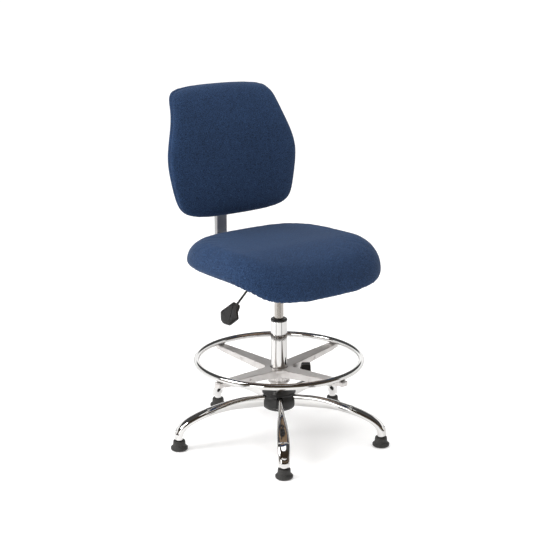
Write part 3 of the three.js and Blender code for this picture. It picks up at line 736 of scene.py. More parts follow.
def inset_outline(outline, distance):
    """A counter-clockwise outline moved inwards by a distance."""
    before = outline - np.roll(outline, 1, 0)
    after = np.roll(outline, -1, 0) - outline
    normals = []
    for edge in (before, after):
        length = np.linalg.norm(edge, axis=1)[:, None]
        normals.append(np.stack([-edge[:, 1], edge[:, 0]], 1) / np.maximum(length, 1e-9))
    middle = normals[0] + normals[1]
    middle /= np.maximum((middle ** 2).sum(1)[:, None] / 2, 0.4)
    return outline + middle * distance


def slab(outline, steps):
    """A plate from rings of (inset, height) over one outline."""
    return skin([np.c_[inset_outline(outline, inset), np.full(len(outline), z)] for inset, z in steps])


# ---------------- pieces

SOFT_SHARPNESS = 50  # shapes shaded rounder than this keep their plain normals
materials = make_materials()


def new_object(name, shape, unit=MM):
    points, faces = shape
    mesh = bpy.data.meshes.new(name)
    mesh.from_pydata((np.asarray(points, float) * unit).tolist(), [], faces)
    bm = bmesh.new()
    bm.from_mesh(mesh)
    bmesh.ops.recalc_face_normals(bm, faces=bm.faces)
    bm.to_mesh(mesh)
    bm.free()
    return link(bpy.data.objects.new(name, mesh))


def modify(obj, kind, **settings):
    """Adds a modifier and applies it."""
    modifier = obj.modifiers.new(kind, kind)
    for name, value in settings.items():
        setattr(modifier, name, value)
    apply_modifiers(obj)
    return obj


def apply_modifiers(obj):
    depsgraph = bpy.context.evaluated_depsgraph_get()
    mesh = bpy.data.meshes.new_from_object(obj.evaluated_get(depsgraph))
    mesh.name = obj.name
    obj.modifiers.clear()
    old = obj.data
    obj.data = mesh
    bpy.data.meshes.remove(old)


def combine(obj, shapes, operation):
    """Joins shapes to the object, or cuts them from it."""
    for shape in shapes:
        other = new_object("tool", shape)
        modify(obj, "BOOLEAN", object=other, operation=operation, solver="EXACT")
        bpy.data.objects.remove(other)
    return obj


def finish_piece(obj, material_name, body, replaces=(), sharp=32):
    """Gives a piece its material, shading, place and body, and hides the CAD nodes that it replaces."""
    mesh = obj.data
    mesh.materials.clear()
    mesh.materials.append(materials[material_name])
    mesh.transform(Matrix.Translation((0, AXIS_Y, 0)))
    mesh.shade_smooth()
    mesh.set_sharp_from_angle(angle=math.radians(sharp))
    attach(obj, body)
    if replaces:
        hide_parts(*replaces)
    if sharp < SOFT_SHARPNESS:
        modify(obj, "WEIGHTED_NORMAL", keep_sharp=True)
    return obj


def piece(name, shape, material_name, body, replaces=(), sharp=32):
    return finish_piece(new_object(name, shape), material_name, body, replaces, sharp)


def bevelled(obj, width, segments=3, angle=40):
    return modify(
        obj, "BEVEL", width=width * MM, segments=segments, limit_method="ANGLE",
        angle_limit=math.radians(angle))


# ---------------- base

def leg_tube():
    """One pressed chrome tube along +X: tall and narrow at the hub, low and wide at the foot."""
    line = smooth_line(LEG_STATIONS, 140)
    section = superellipse(LEG_SECTION, 72)
    slope = np.gradient(line[:, :2], axis=0)
    slope /= np.linalg.norm(slope, axis=1)[:, None]
    rings = []
    for (r, z, height, width), (along, climb) in zip(line, slope):
        across, up = section[:, :1] * width / 2, section[:, 1:] * height / 2
        rings.append(np.array([r, 0, z]) + across * [0, 1, 0] + up * [-climb, 0, along])
    return skin(rings, cap_start=False, cap_end=False)


def trim_leg_end(obj):
    """Cuts the foot end on a slant, so that the socket shows on its inner side."""
    bm = bmesh.new()
    bm.from_mesh(obj.data)
    slant = Vector((-0.42, 0, -1)).normalized()
    cut = Vector((GLIDE_CIRCLE_R, 0, LEG_CUT_Z)) * MM
    bmesh.ops.bisect_plane(
        bm, geom=bm.verts[:] + bm.edges[:] + bm.faces[:], plane_co=cut, plane_no=slant,
        clear_outer=False, clear_inner=False)
    beyond = []
    for face in bm.faces:
        middle = face.calc_center_median()
        if (middle - cut).dot(slant) > 0 and middle.x > LEG_CUT_START * MM:
            beyond.append(face)
    bmesh.ops.delete(bm, geom=beyond, context="FACES")
    bm.to_mesh(obj.data)
    bm.free()


def press_dimple(obj):
    """A shallow locating mark on the top of the leg."""
    for vertex in obj.data.vertices:
        x, y, z = vertex.co / MM
        share = math.exp(-((x - DIMPLE_PLACE) ** 2 + y ** 2) / DIMPLE_R ** 2)
        if z > 100 and share > 0.01:
            vertex.co.z -= DIMPLE_DEPTH * share * MM


def make_legs():
    glide = [
        (0, 0), (GLIDE_R - 3, 0), (GLIDE_R, 2.6), (GLIDE_R, 8.5), (20.6, 12.2), (18.8, 16), (18.2, 26.5),
        (16.5, GLIDE_H), (5.6, GLIDE_H), (5.6, 24), (0, 24),
    ]
    socket = [
        (STEM_R, SOCKET_BOTTOM), (SOCKET_R, SOCKET_BOTTOM), (SOCKET_R, SOCKET_TOP), (STEM_R, SOCKET_TOP),
    ]
    for number, angle in enumerate(LEG_ANGLES, 1):
        turn = spoke_matrix(angle)
        leg = new_object(f"leg_{number}", leg_tube())
        press_dimple(leg)
        trim_leg_end(leg)
        modify(leg, "SOLIDIFY", thickness=LEG_WALL * MM, offset=-1, use_even_offset=True)
        leg.data.transform(turn.to_4x4())
        finish_piece(leg, "chrome", "base", [f"base_leg_{number}"])
        at_foot = turn @ Vector((GLIDE_CIRCLE_R, 0, 0))
        for name, profile, reach, look, node in (
                ("foot_socket", socket, 1.2, "chrome", "stem_socket"),
                ("foot_glide", glide, 1.6, "black_rubber", "glide")):
            shape = placed(turned_part(profile, reach), None, at_foot)
            piece(f"{name}_{number}", shape, look, "base", [f"{node}_{number}"])


def leg_slot(half_width, low, high, turn):
    arch = rounded([(-half_width, low), (half_width, low), (half_width, high), (-half_width, high)], 6, 5)
    return placed(skin([[(r, y, z) for y, z in arch] for r in (34, 66)]), turn)


def make_hub():
    upper = [
        (51.2, HUB_SEAM + 0.3), (52.2, 113), (51.4, 122), (49.2, 130), (45.8, 135), (47, 138.4),
        (51.4, 141.2), (50.6, 145.2), (28, 148.5), (25.6, 148.5), (25.6, 145.8), (44.5, 141.5), (43, 135),
        (46.4, 129.4), (48.8, 121.6), (49.6, 113), (48.6, HUB_SEAM + 0.3),
    ]
    lower = [
        (28, 89), (37, 90), (46, 95), (51.2, HUB_SEAM), (48.6, HUB_SEAM), (44.2, 96.6), (36.4, 92.4),
        (28, 91.4),
    ]
    covers = (
        ("hub_upper_cover", upper, 3, "hub_cover_top", 90),
        ("hub_lower_cover", lower, 2, "hub_cover_bottom", 99.3),
    )
    for name, profile, reach, node, slot_bottom in covers:
        cover = new_object(name, turned_part(profile, reach, 120))
        slots = [leg_slot(9.2, slot_bottom, 137.8, spoke_matrix(angle)) for angle in LEG_ANGLES]
        combine(cover, slots, "DIFFERENCE")
        finish_piece(cover, "black_plastic", "base", [node])


# ---------------- column

def make_column():
    tube = [
        (6, COLUMN_BOTTOM), (COLUMN_BORE_R, COLUMN_BOTTOM), (COLUMN_R, COLUMN_TAPER_TOP),
        (COLUMN_R, COLUMN_TOP), (COLUMN_BORE_R, COLUMN_TOP), (COLUMN_BORE_R, COLUMN_TAPER_TOP),
        (21.8, COLUMN_BOTTOM + 4), (6, COLUMN_BOTTOM + 4),
    ]
    piece("column", turned_part(tube, 0.9, 96), "chrome", "base", ["column_tube"])
    collar_bottom = COLUMN_TOP + 0.3
    bush = [
        (STROKE_R + 0.3, 290), (23.1, 290), (23.1, collar_bottom), (COLUMN_R + 0.2, collar_bottom),
        (COLUMN_R + 0.2, 373), (COLUMN_R - 2.5, 375), (STROKE_R + 3, 375), (STROKE_R + 0.3, 373),
    ]
    piece("column_bush", turned_part(bush, 0.6, 96), "black_plastic", "base", ["guide_bush"])
    stroke = [
        (5.4, STROKE_BOTTOM), (STROKE_R, STROKE_BOTTOM), (STROKE_R, STROKE_TAPER), (13.2, STROKE_TOP),
        (4.2, STROKE_TOP), (4.2, STROKE_TOP - 8), (12.4, STROKE_TOP - 8), (12.4, STROKE_BOTTOM + 8),
        (5.4, STROKE_BOTTOM + 8),
    ]
    piece("stroke_column", turned_part(stroke, 0.7, 72), "steel", "seat", ["stroke_tube"])


# ---------------- foot ring

def channel_arm():
    """One spider arm along +X: a flat top with two side webs, open underneath."""
    wall = CASTING_WALL
    rings = []
    for share in np.linspace(0, 1, 9):
        r, half, bottom = (a + share * (b - a) for a, b in zip(ARM_START, ARM_END))
        top = SPIDER_TOP + share * (SADDLE_Z - SPIDER_TOP)
        rings.append([(r, y, z) for y, z in (
            (-half, bottom), (-half, top), (half, top), (half, bottom), (half - wall, bottom),
            (half - wall, top - wall), (wall - half, top - wall), (wall - half, bottom))])
    return skin(rings)


def spider_parts():
    lug = rounded([(236, -13), (263, -13), (263, 13), (236, 13)], 7, 5)
    arm = [channel_arm(), slab(lug, ((0, 222.5), (0, SADDLE_Z)))]
    for side in (-1, 1):
        outwards = Matrix.Rotation(-side * math.pi / 2, 3, "X")
        arm.append(placed(cylinder(4.2, 0, 2.4, 20), outwards, (142, side * 19.2, 217)))
    parts = [placed(shape, spoke_matrix(angle)) for angle in ARM_ANGLES for shape in arm]
    rib = box(COLLAR_R - 1, COLLAR_R + 2.2, -1.3, 1.3, SPIDER_BOTTOM + 6, 214)
    parts += [placed(rib, spoke_matrix(k * 22.5)) for k in range(16)]
    parts.append(revolved([
        (BORE_R, SPIDER_BOTTOM), (33, SPIDER_BOTTOM), (33, SPIDER_BOTTOM + 4.5),
        (COLLAR_R, SPIDER_BOTTOM + 8), (COLLAR_R, 212), (44, 216), (44, SPIDER_TOP), (BORE_R, SPIDER_TOP),
    ], 96))
    boss = placed(turned_part([(0, 27.5), (10, 27.5), (10, 44), (0, 44)], 1), ALONG_X, (0, 0, RING_KNOB_Z))
    parts.append(placed(boss, spoke_matrix(RING_KNOB_ANGLE)))
    return parts


def make_spider():
    """The casting: its parts are merged by a voxel remesh, and smoothed to cast fillets."""
    spider = new_object("ring_spider", joined(*spider_parts()))
    voxel = 1.3
    modify(spider, "REMESH", mode="VOXEL", voxel_size=voxel * MM, use_smooth_shade=True)
    modify(spider, "SMOOTH", factor=0.5, iterations=4)
    modify(spider, "DECIMATE", ratio=0.4)
    finish_piece(spider, "cast_aluminium", "foot_ring", ["foot_ring_spider"], sharp=60)


def make_foot_ring():
    sides = 32
    t = np.arange(sides) * TAU / sides
    circle = np.stack([RING_R + RING_TUBE_R * np.cos(t), RING_Z + RING_TUBE_R * np.sin(t)], 1)
    piece("ring_tube", revolved(circle, 240), "chrome", "foot_ring", ["foot_ring_tube"])
    make_spider()
    screw = [
        (0, 218.3), (4, 218.4), (6, 220), (6, 222.3), (RING_SCREW_R, 222.3), (RING_SCREW_R, 236), (0, 236),
    ]
    for number, angle in enumerate(ARM_ANGLES, 1):
        at = spoke_matrix(angle) @ Vector((RING_R, 0, 0))
        shape = placed(turned_part(screw, 0.5, 32), None, at)
        piece(f"ring_fixing_{number}", shape, "steel", "foot_ring", [f"ring_screw_{number}"])
    head = [
        (0.18, 64.4), (0.5, 64.4), (0.5, 66.5), (0.86, 67.5), (0.96, 69), (1, 71.5), (1, 90), (0.97, 93.5),
        (0.9, 95.5), (0.72, 96), (0.66, 95), (0.3, 94.6),
    ]
    knob = joined(lobed_knob(28, 7, 0.14, head), cylinder(4.8, 27, 66, 24))
    shape = placed(placed(knob, ALONG_X, (0, 0, RING_KNOB_Z)), spoke_matrix(RING_KNOB_ANGLE))
    piece("ring_knob_head", shape, "black_plastic", "ring_clamp", ["ring_knob"])


# ---------------- cushions

def seat_half_width(v, inset):
    return SEAT_HALF_FRONT + (SEAT_HALF_REAR - SEAT_HALF_FRONT) * (v + 1) / 2 - inset


def seat_outline(inset, count=240):
    """(x, y) round the seat, moved inwards by an inset."""
    uv = superellipse(SEAT_CORNER, count)
    y = (SEAT_REAR - SEAT_FRONT) / 2 + uv[:, 1] * ((SEAT_REAR + SEAT_FRONT) / 2 - inset)
    return np.stack([seat_half_width(uv[:, 1], inset) * uv[:, 0], y], 1)


def seat_droop(y):
    past = np.maximum(0, -y - SEAT_DROOP_START) / (SEAT_FRONT - SEAT_DROOP_START)
    return SEAT_DROOP * past ** 2


def seat_form(shrink):
    """The closed seat cushion. Above its stapled rim it starts smaller all round, as room for it to swell."""
    rings = []

    def add(inset, z, share=1):
        free = 1 - seat_hold_at(z - SEAT_BOTTOM)
        outline = seat_outline(inset + shrink * free) * share
        drop = shrink * free if z > SEAT_TOP - SEAT_TOP_EDGE else 0
        rings.append(np.c_[outline, z - drop - seat_droop(outline[:, 1])])

    for share in np.linspace(0.04, 0.92, 12):
        add(SEAT_TOP_EDGE, SEAT_TOP, share)
    quarter = np.linspace(0, math.pi / 2, 12)
    for turn in quarter:
        add(SEAT_TOP_EDGE * (1 - math.sin(turn)), SEAT_TOP - SEAT_TOP_EDGE * (1 - math.cos(turn)))
    for turn in quarter:
        add(SEAT_LOW_EDGE * (1 - math.cos(turn)), SEAT_BOTTOM + SEAT_LOW_EDGE * (1 - math.sin(turn)))
    for share in np.linspace(0.92, 0.04, 12):
        add(SEAT_LOW_EDGE, SEAT_BOTTOM, share)
    return skin(rings)


def back_terms(z):
    """Terms of a smooth curve in the height: a cubic, with one more above the middle."""
    t = (np.asarray(z, float) - 850) / 200
    return np.stack([np.ones_like(t), t, t ** 2, t ** 3, np.maximum(t, 0) ** 3], -1)


BACK_CURVES = np.linalg.solve(back_terms(BACK_HEIGHTS), np.c_[BACK_HALF_WIDTHS, BACK_MIDDLE_Y])


def back_curves(z):
    """Half width and middle y of the backrest at heights z."""
    both = back_terms(z) @ BACK_CURVES
    return both[..., 0], both[..., 1]


def back_middle(x, z):
    """y of the backrest's middle surface."""
    return back_curves(z)[1] - BACK_WRAP * ((x / BACK_WRAP_HALF) ** 2 - 1)


def back_form(shrink):
    """The closed backrest, made smaller all round as room for it to swell."""
    levels = np.sin(np.linspace(-math.pi / 2, math.pi / 2, 162)[1:-1])
    t = np.arange(120) * TAU / 120
    across = signed_power(np.cos(t), 2 / BACK_SECTION)
    through = signed_power(np.sin(t), 2 / BACK_SECTION)
    middle, half = (BACK_TOP + BACK_BOTTOM) / 2, (BACK_TOP - BACK_BOTTOM) / 2
    rings = []
    for v in levels:
        corner = BACK_TOP_CORNER if v > 0 else BACK_LOW_CORNER
        bow = -BACK_TOP_BOW if v > 0 else BACK_LOW_BOW
        width = (1 - abs(v) ** corner) ** (1 / corner)
        thick = (1 - abs(v) ** (1.6 * corner)) ** (1 / 2.2)
        offset = BACK_T / 2 * thick * through
        inset = shrink * (1 - seam_hold(offset))
        z = middle + (half - inset) * v
        x = (back_curves(middle + half * v)[0] - inset) * width * across
        y = back_middle(x, z) + offset * (1 - inset / (BACK_T / 2))
        rings.append(np.stack([x, y, z + bow * (x / 200) ** 2 * v ** 4], 1))
    return skin(rings)


def coordinates(mesh):
    flat = np.zeros(len(mesh.vertices) * 3)
    mesh.vertices.foreach_get("co", flat)
    return flat.reshape(-1, 3)


def set_coordinates(mesh, points):
    mesh.vertices.foreach_set("co", np.asarray(points, float).ravel())
    mesh.update()


def normals_of(mesh):
    flat = np.zeros(len(mesh.vertices) * 3)
    mesh.vertices.foreach_get("normal", flat)
    return flat.reshape(-1, 3)


def inflated(obj, voxel, swell, cap, creases, held):
    """Remeshes the form and lets cloth pressure swell it. held(points) gives the share of hold on each point.
    The swelling evens out to the cushion's own form, and a share of the creases in the cloth stays."""
    modify(obj, "REMESH", mode="VOXEL", voxel_size=voxel * MM)
    modify(obj, "SMOOTH", factor=0.5, iterations=6)
    start = coordinates(obj.data)
    normals = normals_of(obj.data)
    hold = held(start / MM)
    rise = swell * MM * (1 - hold)
    shift = simulated_shift(obj, start, hold, cap)
    along = (shift * normals).sum(1)
    rise = rise + creases * (along - evened(obj.data, along, EVENING_ROUNDS))
    set_coordinates(obj.data, start + normals * rise[:, None])
    modify(obj, "SUBSURF", levels=1)
    return obj


def evened(mesh, values, rounds):
    """Values on the points, averaged with their neighbours again and again."""
    pairs = np.zeros(len(mesh.edges) * 2, np.int32)
    mesh.edges.foreach_get("vertices", pairs)
    a, b = pairs.reshape(-1, 2).T
    count = len(values)
    neighbours = np.bincount(a, minlength=count) + np.bincount(b, minlength=count)
    for _ in range(rounds):
        total = np.bincount(a, values[b], count) + np.bincount(b, values[a], count)
        values = 0.5 * values + 0.5 * total / neighbours
    return values


def simulated_shift(obj, start, hold, cap):
    """How far a cloth simulation under pressure moves each point, no further than the cap."""
    group = obj.vertex_groups.new(name="held")
    for index in np.nonzero(hold > 0.01)[0]:
        group.add([int(index)], float(hold[index]), "REPLACE")
    cloth = obj.modifiers.new("Cloth", "CLOTH")
    settings = cloth.settings
    settings.quality = 5
    settings.mass = 0.3
    settings.use_pressure = True
    settings.uniform_pressure_force = CLOTH_PRESSURE
    settings.vertex_group_mass = "held"
    settings.effector_weights.gravity = 0
    cloth.point_cache.frame_end = CLOTH_FRAMES
    for number in range(1, CLOTH_FRAMES + 1):
        bpy.context.scene.frame_set(number)
    depsgraph = bpy.context.evaluated_depsgraph_get()
    swollen = coordinates(obj.evaluated_get(depsgraph).data)
    obj.modifiers.clear()
    obj.vertex_groups.clear()
    bpy.context.scene.frame_set(1)
    shift = swollen - start
    length = np.linalg.norm(shift, axis=1)
    limit = cap * MM
    return shift * (limit * np.tanh(length / limit) / np.maximum(length, 1e-9))[:, None]


def seat_hold_at(height):
    """The share of hold at a height above the underside: the cover is stapled under the seat's rim."""
    return np.clip((STAPLE_TOP - height) / 10, 0, 1)


def seat_hold(points):
    return seat_hold_at(points[:, 2] + seat_droop(points[:, 1]) - SEAT_BOTTOM)


def gathers(arc, turn):
    """Depth of the gathers along the rim, from 0 to 1: fine, irregular, and in a few places only."""
    wobble = 7 * np.sin(arc / 61 + 1.3) + 4 * np.sin(arc / 23.7 + 0.4)
    broad = 0.5 + 0.5 * np.cos((arc + 2 * wobble) * TAU / 83)
    fine = 0.5 + 0.5 * np.cos((arc + wobble) * TAU / 19.3)
    finer = 0.5 + 0.5 * np.cos((arc - 0.6 * wobble) * TAU / 12.7)
    puckered = 0.1
    for centre, width, depth in GATHER_PLACES:
        puckered = puckered + depth * np.exp(-((np.degrees(turn) - centre) / width) ** 2)
    return 0.08 * broad + puckered * (0.5 * fine ** 5 + 0.4 * finer ** 5)


def rim_places(points):
    """Where points lie on the seat: angle round it, arc length round its rim, height above its underside,
    distance out from its middle (1 at the rim), and how far towards the rear (-1 to 1)."""
    middle = (SEAT_REAR - SEAT_FRONT) / 2
    u = points[:, 0] / ((SEAT_HALF_FRONT + SEAT_HALF_REAR) / 2)
    v = (points[:, 1] - middle) / ((SEAT_REAR + SEAT_FRONT) / 2)
    turn = np.arctan2(signed_power(v, SEAT_CORNER / 2), signed_power(u, SEAT_CORNER / 2)) % TAU
    outline = seat_outline(0, RIM_STEPS)
    step = np.linalg.norm(np.diff(outline, axis=0, prepend=outline[-1:]), axis=1)
    arc = np.interp(turn, (np.arange(RIM_STEPS) + 0.5) * TAU / RIM_STEPS, np.cumsum(step))
    height = points[:, 2] + seat_droop(points[:, 1]) - SEAT_BOTTOM
    out = (np.abs(u) ** SEAT_CORNER + np.abs(v) ** SEAT_CORNER) ** (1 / SEAT_CORNER)
    return turn, arc, height, out, v


def gather_rim(obj):
    """Pulls the cover in where it is stapled, so that the rim is scalloped and creases run up from it."""
    points = coordinates(obj.data) / MM
    normals = normals_of(obj.data)
    turn, arc, height, out, rearwards = rim_places(points)
    depth = gathers(arc, turn)
    rim = np.clip((out - 0.82) / 0.08, 0, 1)
    pull = depth * rim * np.exp(-np.maximum(height - 8, 0) / 15)
    points -= normals * (GATHER_DEPTH * pull)[:, None]
    hang = FRONT_HANG * np.clip(-rearwards, 0, 1) ** 2
    for centre in HANGING_CORNERS:
        hang = hang + CORNER_HANG * np.exp(-((np.degrees(turn) - centre) / HANGING_WIDTH) ** 2)
    outside_board = np.clip((out - 0.9) / 0.06, 0, 1)
    points[:, 2] -= hang * outside_board * np.clip((40 - height) / 32, 0, 1)
    points[:, 2] += GATHER_LIFT * depth * rim * np.clip((STAPLE_TOP - height) / 14, 0, 1)
    set_coordinates(obj.data, points * MM)


def seat_hem():
    """The band of cover that is drawn in under the board, pleated where it is stapled."""
    top = BOARD_BOTTOM - 0.3
    section = rounded([
        (14, SEAT_BOTTOM + 2), (26, HEM_BOTTOM), (HEM_REACH, HEM_BOTTOM), (HEM_REACH, top), (24, top),
        (16, SEAT_BOTTOM + 3)], 1.2)
    turn = np.arange(RIM_STEPS) * TAU / RIM_STEPS
    pleats = np.cos(HEM_PLEATS * turn + 3 * np.sin(5 * turn))
    rings = []
    for inset, z in section:
        inner = np.clip((inset - 26) / 20, 0, 1)
        outline = seat_outline(inset + HEM_WAVE * inner * pleats, RIM_STEPS)
        lift = HEM_PLEAT_DEPTH * inner * pleats * (z < top - 1)
        rings.append(np.c_[outline, z + lift - seat_droop(outline[:, 1])])
    return np.vstack(rings), strip_faces(len(rings), RIM_STEPS, True)


def make_seat():
    piece("seat_hem", seat_hem(), "blue_fabric", "seat")
    form = new_object("seat_pad", seat_form(SEAT_SHRINK))
    seat = inflated(form, SEAT_VOXEL, SEAT_SHRINK, SEAT_CAP, SEAT_CREASES, seat_hold)
    gather_rim(seat)
    finish_piece(seat, "blue_fabric", "seat", ["seat_cushion"], sharp=180)


def seam_hold(offset):
    """The share of hold at an offset behind the middle surface: the cover is tight round the inner board."""
    return 0.7 * np.exp(-((offset - BACK_SEAM) / SEAM_HALF) ** 2)


def back_hold(points):
    return seam_hold(points[:, 1] - back_middle(points[:, 0], points[:, 2]))


def split_back(whole, keep_front):
    """One side of the backrest from its seam, closed, with the edge rolled in."""
    half = whole.copy()
    half.data = whole.data.copy()
    link(half)
    points = coordinates(half.data) / MM
    normals = normals_of(half.data)
    offset = points[:, 1] - back_middle(points[:, 0], points[:, 2]) - BACK_SEAM
    roll = np.clip(1 - np.abs(offset) / SEAM_HALF, 0, 1) ** 2
    points -= normals * (SEAM_ROLL * roll)[:, None]
    points[:, 1] -= back_middle(points[:, 0], points[:, 2])
    set_coordinates(half.data, points * MM)
    bm = bmesh.new()
    bm.from_mesh(half.data)
    side = 1 if keep_front else -1
    bmesh.ops.bisect_plane(
        bm, geom=bm.verts[:] + bm.edges[:] + bm.faces[:], plane_co=(0, (BACK_SEAM - side * SEAM_GAP) * MM, 0),
        plane_no=(0, side, 0), clear_outer=True)
    rim = [e for e in bm.edges if e.is_boundary]
    bmesh.ops.triangle_fill(bm, edges=rim, use_beauty=True)
    bm.to_mesh(half.data)
    bm.free()
    points = coordinates(half.data) / MM
    points[:, 1] += back_middle(points[:, 0], points[:, 2])
    set_coordinates(half.data, points * MM)
    return half


def make_back():
    form = new_object("back_whole", back_form(BACK_SHRINK))
    whole = inflated(form, BACK_VOXEL, BACK_SHRINK, BACK_CAP, BACK_CREASES, back_hold)
    halves = (("back_pad", True, "back_cushion"), ("back_rear_cover", False, "back_rear_panel"))
    for name, keep_front, node in halves:
        half = split_back(whole, keep_front)
        half.name = name
        half.data.name = name
        finish_piece(half, "blue_fabric", "backrest", [node], sharp=50)
    bpy.data.objects.remove(whole)


# ---------------- J-bar, bracket, mechanism, lever

def make_bar():
    path = bent_path((0, BAR_START_Y, BAR_Z), (0, BAR_Y, BAR_Z), (0, BAR_Y, BAR_TOP), BAR_BEND_R, 28)
    section = superellipse(5.5, 96) * [BAR_W / 2, BAR_T / 2]
    shape = swept(path, (1, 0, 0), section, 2.5)
    piece("back_bar", shape, "bar_steel", "back_bar", ["j_bar"], sharp=60)


def make_bracket():
    in_x, in_y, wall = BAR_W / 2 + BAR_SLACK, BAR_T / 2 + BAR_SLACK, BRACKET_WALL
    low, high = BRACKET_Z - BRACKET_HALF_H, BRACKET_Z + BRACKET_HALF_H

    def behind(z):
        return float(back_middle(0, z)) + BACK_T / 2 + 1.2

    outline = rounded([(-45, -47), (45, -47), (45, 47), (-45, 47)], 12, 6)
    plate_rings = []
    for depth in (0, 3):
        plate_rings.append([(x, behind(BRACKET_Z + z) + depth, BRACKET_Z + z) for x, z in outline])
    bracket = new_object("bracket", skin(plate_rings))
    sleeve = box(-in_x - wall, in_x + wall, BAR_Y - in_y - wall, BAR_Y + in_y + wall, low, high)
    web = box(-20, 20, behind(BRACKET_Z + 30) + 1, BAR_Y - in_y - 1, low + 10, high - 10)
    combine(bracket, [sleeve, web], "UNION")
    bore = box(-in_x, in_x, BAR_Y - in_y, BAR_Y + in_y, low - 10, high + 10)
    stud = placed(cylinder(4.4, BAR_Y, BAR_Y + 40), ALONG_Y, (0, 0, BRACKET_Z))
    combine(bracket, [bore, stud], "DIFFERENCE")
    bevelled(bracket, 1.1)
    finish_piece(bracket, "black_steel", "backrest", ["back_bracket"])

    head = behind(BRACKET_Z) + 4.3
    screw = [
        (0, 225), (3, 225), (3, head), (6.4, head), (6.4, head + 1.6), (4, head + 4), (2, head + 4),
        (0, head + 2.4),
    ]
    for number, side in enumerate((-1, 1), 1):
        shape = placed(turned_part(screw, 0.5, 32), ALONG_Y, (side * BRACKET_SCREW_X, 0, BRACKET_Z))
        piece(f"back_fixing_{number}", shape, "steel", "backrest", [f"back_screw_{number}"])
    profile = [
        (0.2, 307), (0.5, 307), (0.5, 310), (0.88, 311), (0.97, 312.5), (1, 315), (1, 325), (0.97, 328),
        (0.88, 329.6), (0.7, 330), (0.62, 329.2), (0.3, 329),
    ]
    knob = joined(lobed_knob(22, 6, 0.14, profile), cylinder(3.9, BAR_Y + BAR_T / 2 + 0.4, 309))
    shape = placed(knob, ALONG_Y, (0, 0, BRACKET_Z))
    piece("back_knob_head", shape, "black_plastic", "back_clamp", ["back_knob"])


def make_mechanism():
    """The housing under the seat with its flange and its mouth for the bar, the taper socket and the knob."""
    top = SEAT_BOTTOM - 2
    under = top - 3
    outline = rounded([(-95, -74), (95, -74), (95, 116), (-95, 116)], 14, 6)
    housing = new_object("tilt_housing", slab(outline, ((0, under), (0, top))))

    def housing_box(inset, low, high):
        half = HOUSING_HALF_X - inset
        return box(-half, half, inset - HOUSING_FRONT, HOUSING_REAR - inset, low, high)

    combine(housing, [housing_box(0, HOUSING_BOTTOM, under + 1)], "UNION")
    combine(housing, [housing_box(3, HOUSING_BOTTOM - 10, under)], "DIFFERENCE")
    floor_top = BAR_Z - BAR_T / 2 - 0.5
    combine(housing, [housing_box(1, floor_top - 3, floor_top)], "UNION")
    half_mouth = BAR_W / 2 + BAR_SLACK
    mouth_top = BAR_Z + BAR_T / 2 + BAR_SLACK
    holes = [
        box(-half_mouth, half_mouth, HOUSING_REAR - 10, HOUSING_REAR + 10, floor_top, mouth_top),
        cylinder(21.3, 480, floor_top + 2, 48),
        placed(cylinder(5.4, 480, floor_top + 2), None, (0, DEPTH_KNOB_Y, 0)),
        placed(cylinder(6.3, -60, -30), ALONG_X, (0, 0, LEVER_Z)),
    ]
    combine(housing, holes, "DIFFERENCE")
    bevelled(housing, 0.9, 2)
    finish_piece(housing, "black_steel", "seat", ["mechanism_housing"])

    socket = [(14.4, 486), (21, 486), (21, 521), (13.6, 521)]
    piece("taper_bush", turned_part(socket, 1, 64), "black_steel", "seat", ["taper_socket"])
    profile = [
        (0.3, 469), (0.62, 468.8), (0.7, 468), (0.88, 468.6), (0.97, 470.5), (1, 473), (1, 486),
        (0.97, 488.5), (0.88, 490), (0.5, 491), (0.5, 494), (0.2, 494),
    ]
    knob = lobed_knob(24, 6, 0.14, profile)
    stud = cylinder(4.8, 489, BAR_Z - BAR_T / 2 - 0.4)
    shape = placed(joined(knob, stud), None, (0, DEPTH_KNOB_Y, 0))
    piece("depth_knob_head", shape, "black_plastic", "depth_screw", ["depth_knob"])


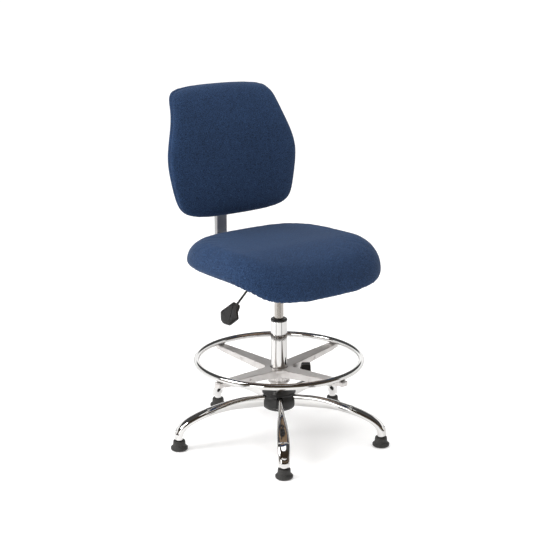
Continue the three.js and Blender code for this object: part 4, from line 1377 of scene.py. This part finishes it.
def make_lever():
    direction = Vector((-math.cos(LEVER_DROP), 0, -math.sin(LEVER_DROP)))
    origin = LEVER_CORNER + direction * PADDLE_REACH
    path = bent_path((4, 0, LEVER_Z), LEVER_CORNER, origin + direction * 40, 18, 14)
    rod = swept(path, (0, 1, 0), superellipse(2, 28) * LEVER_ROD_R, 1)
    piece("lever_arm", rod, "black_steel", "height_lever", ["lever_rod"], sharp=60)
    bush = [(4.3, -49), (8, -49), (8, -46.3), (6, -46.3), (6, -41), (4.3, -41)]
    shape = placed(turned_part(bush, 0.5, 40), ALONG_X, (0, 0, LEVER_Z))
    piece("lever_grommet", shape, "black_plastic", "seat", ["lever_bush"])
    make_paddle(direction, origin)


def paddle_outline():
    """(along the rod, across) round the paddle, counter-clockwise from its neck."""
    corners = [
        (3, -13), (48, -30), (70, -12), (75, 0), (71, 23), (40, 34), (29, 23), (24, 18), (13, 15), (3, 11),
    ]
    return rounded(corners, 4, 5)


def make_paddle(direction, origin):
    half = PADDLE_T / 2
    outline = paddle_outline()
    across = Matrix.Rotation(PADDLE_ROLL, 3, direction) @ Vector((0, -1, 0))
    turn = Matrix((direction, across, direction.cross(across))).transposed()
    body = slab(outline, (
        (4.2, -half), (3.4, -half), (0.9, 1.4 - half), (0.2, 2.6 - half), (0, 4 - half), (0, half - 4.5),
        (0.3, half - 3), (1.2, half - 1.8), (3.6, half - 0.3), (4.6, half), (5.4, half - 0.2),
        (5.9, half - 0.9), (6.6, half - 1)))
    handle = placed(body, turn, origin)
    piece("lever_handle", handle, "black_plastic", "height_lever", ["lever_paddle"])
    inlay = slab(outline, ((6.4, half - 2), (6.4, half - 0.75), (7.2, half - 0.4), (8.6, half - 0.3)))
    piece("lever_face", placed(inlay, turn, origin), "paddle_face", "height_lever")


# ---------------- the CAD nodes that stay

def refinish_kept_nodes():
    """Gives every CAD node that still shows a finish of its own material."""
    finishes = {
        "hub_tube": "steel", "thrust_bearing": "steel", "piston_rod": "steel", "retaining_clip": "steel",
        "bump_stop": "black_rubber", "release_button": "steel", "ring_liner": "black_plastic",
        "seat_board": "plywood", "back_board": "plywood",
    }
    for number in range(1, 6):
        finishes[f"glide_stem_{number}"] = "steel"
    for number in range(1, 5):
        finishes[f"seat_bolt_{number}"] = "steel"
    for node, name in finishes.items():
        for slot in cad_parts[node].material_slots:
            slot.material = materials[name]


make_studio()
make_legs()
make_hub()
make_column()
make_foot_ring()
make_seat()
make_back()
make_bar()
make_bracket()
make_mechanism()
make_lever()
refinish_kept_nodes()
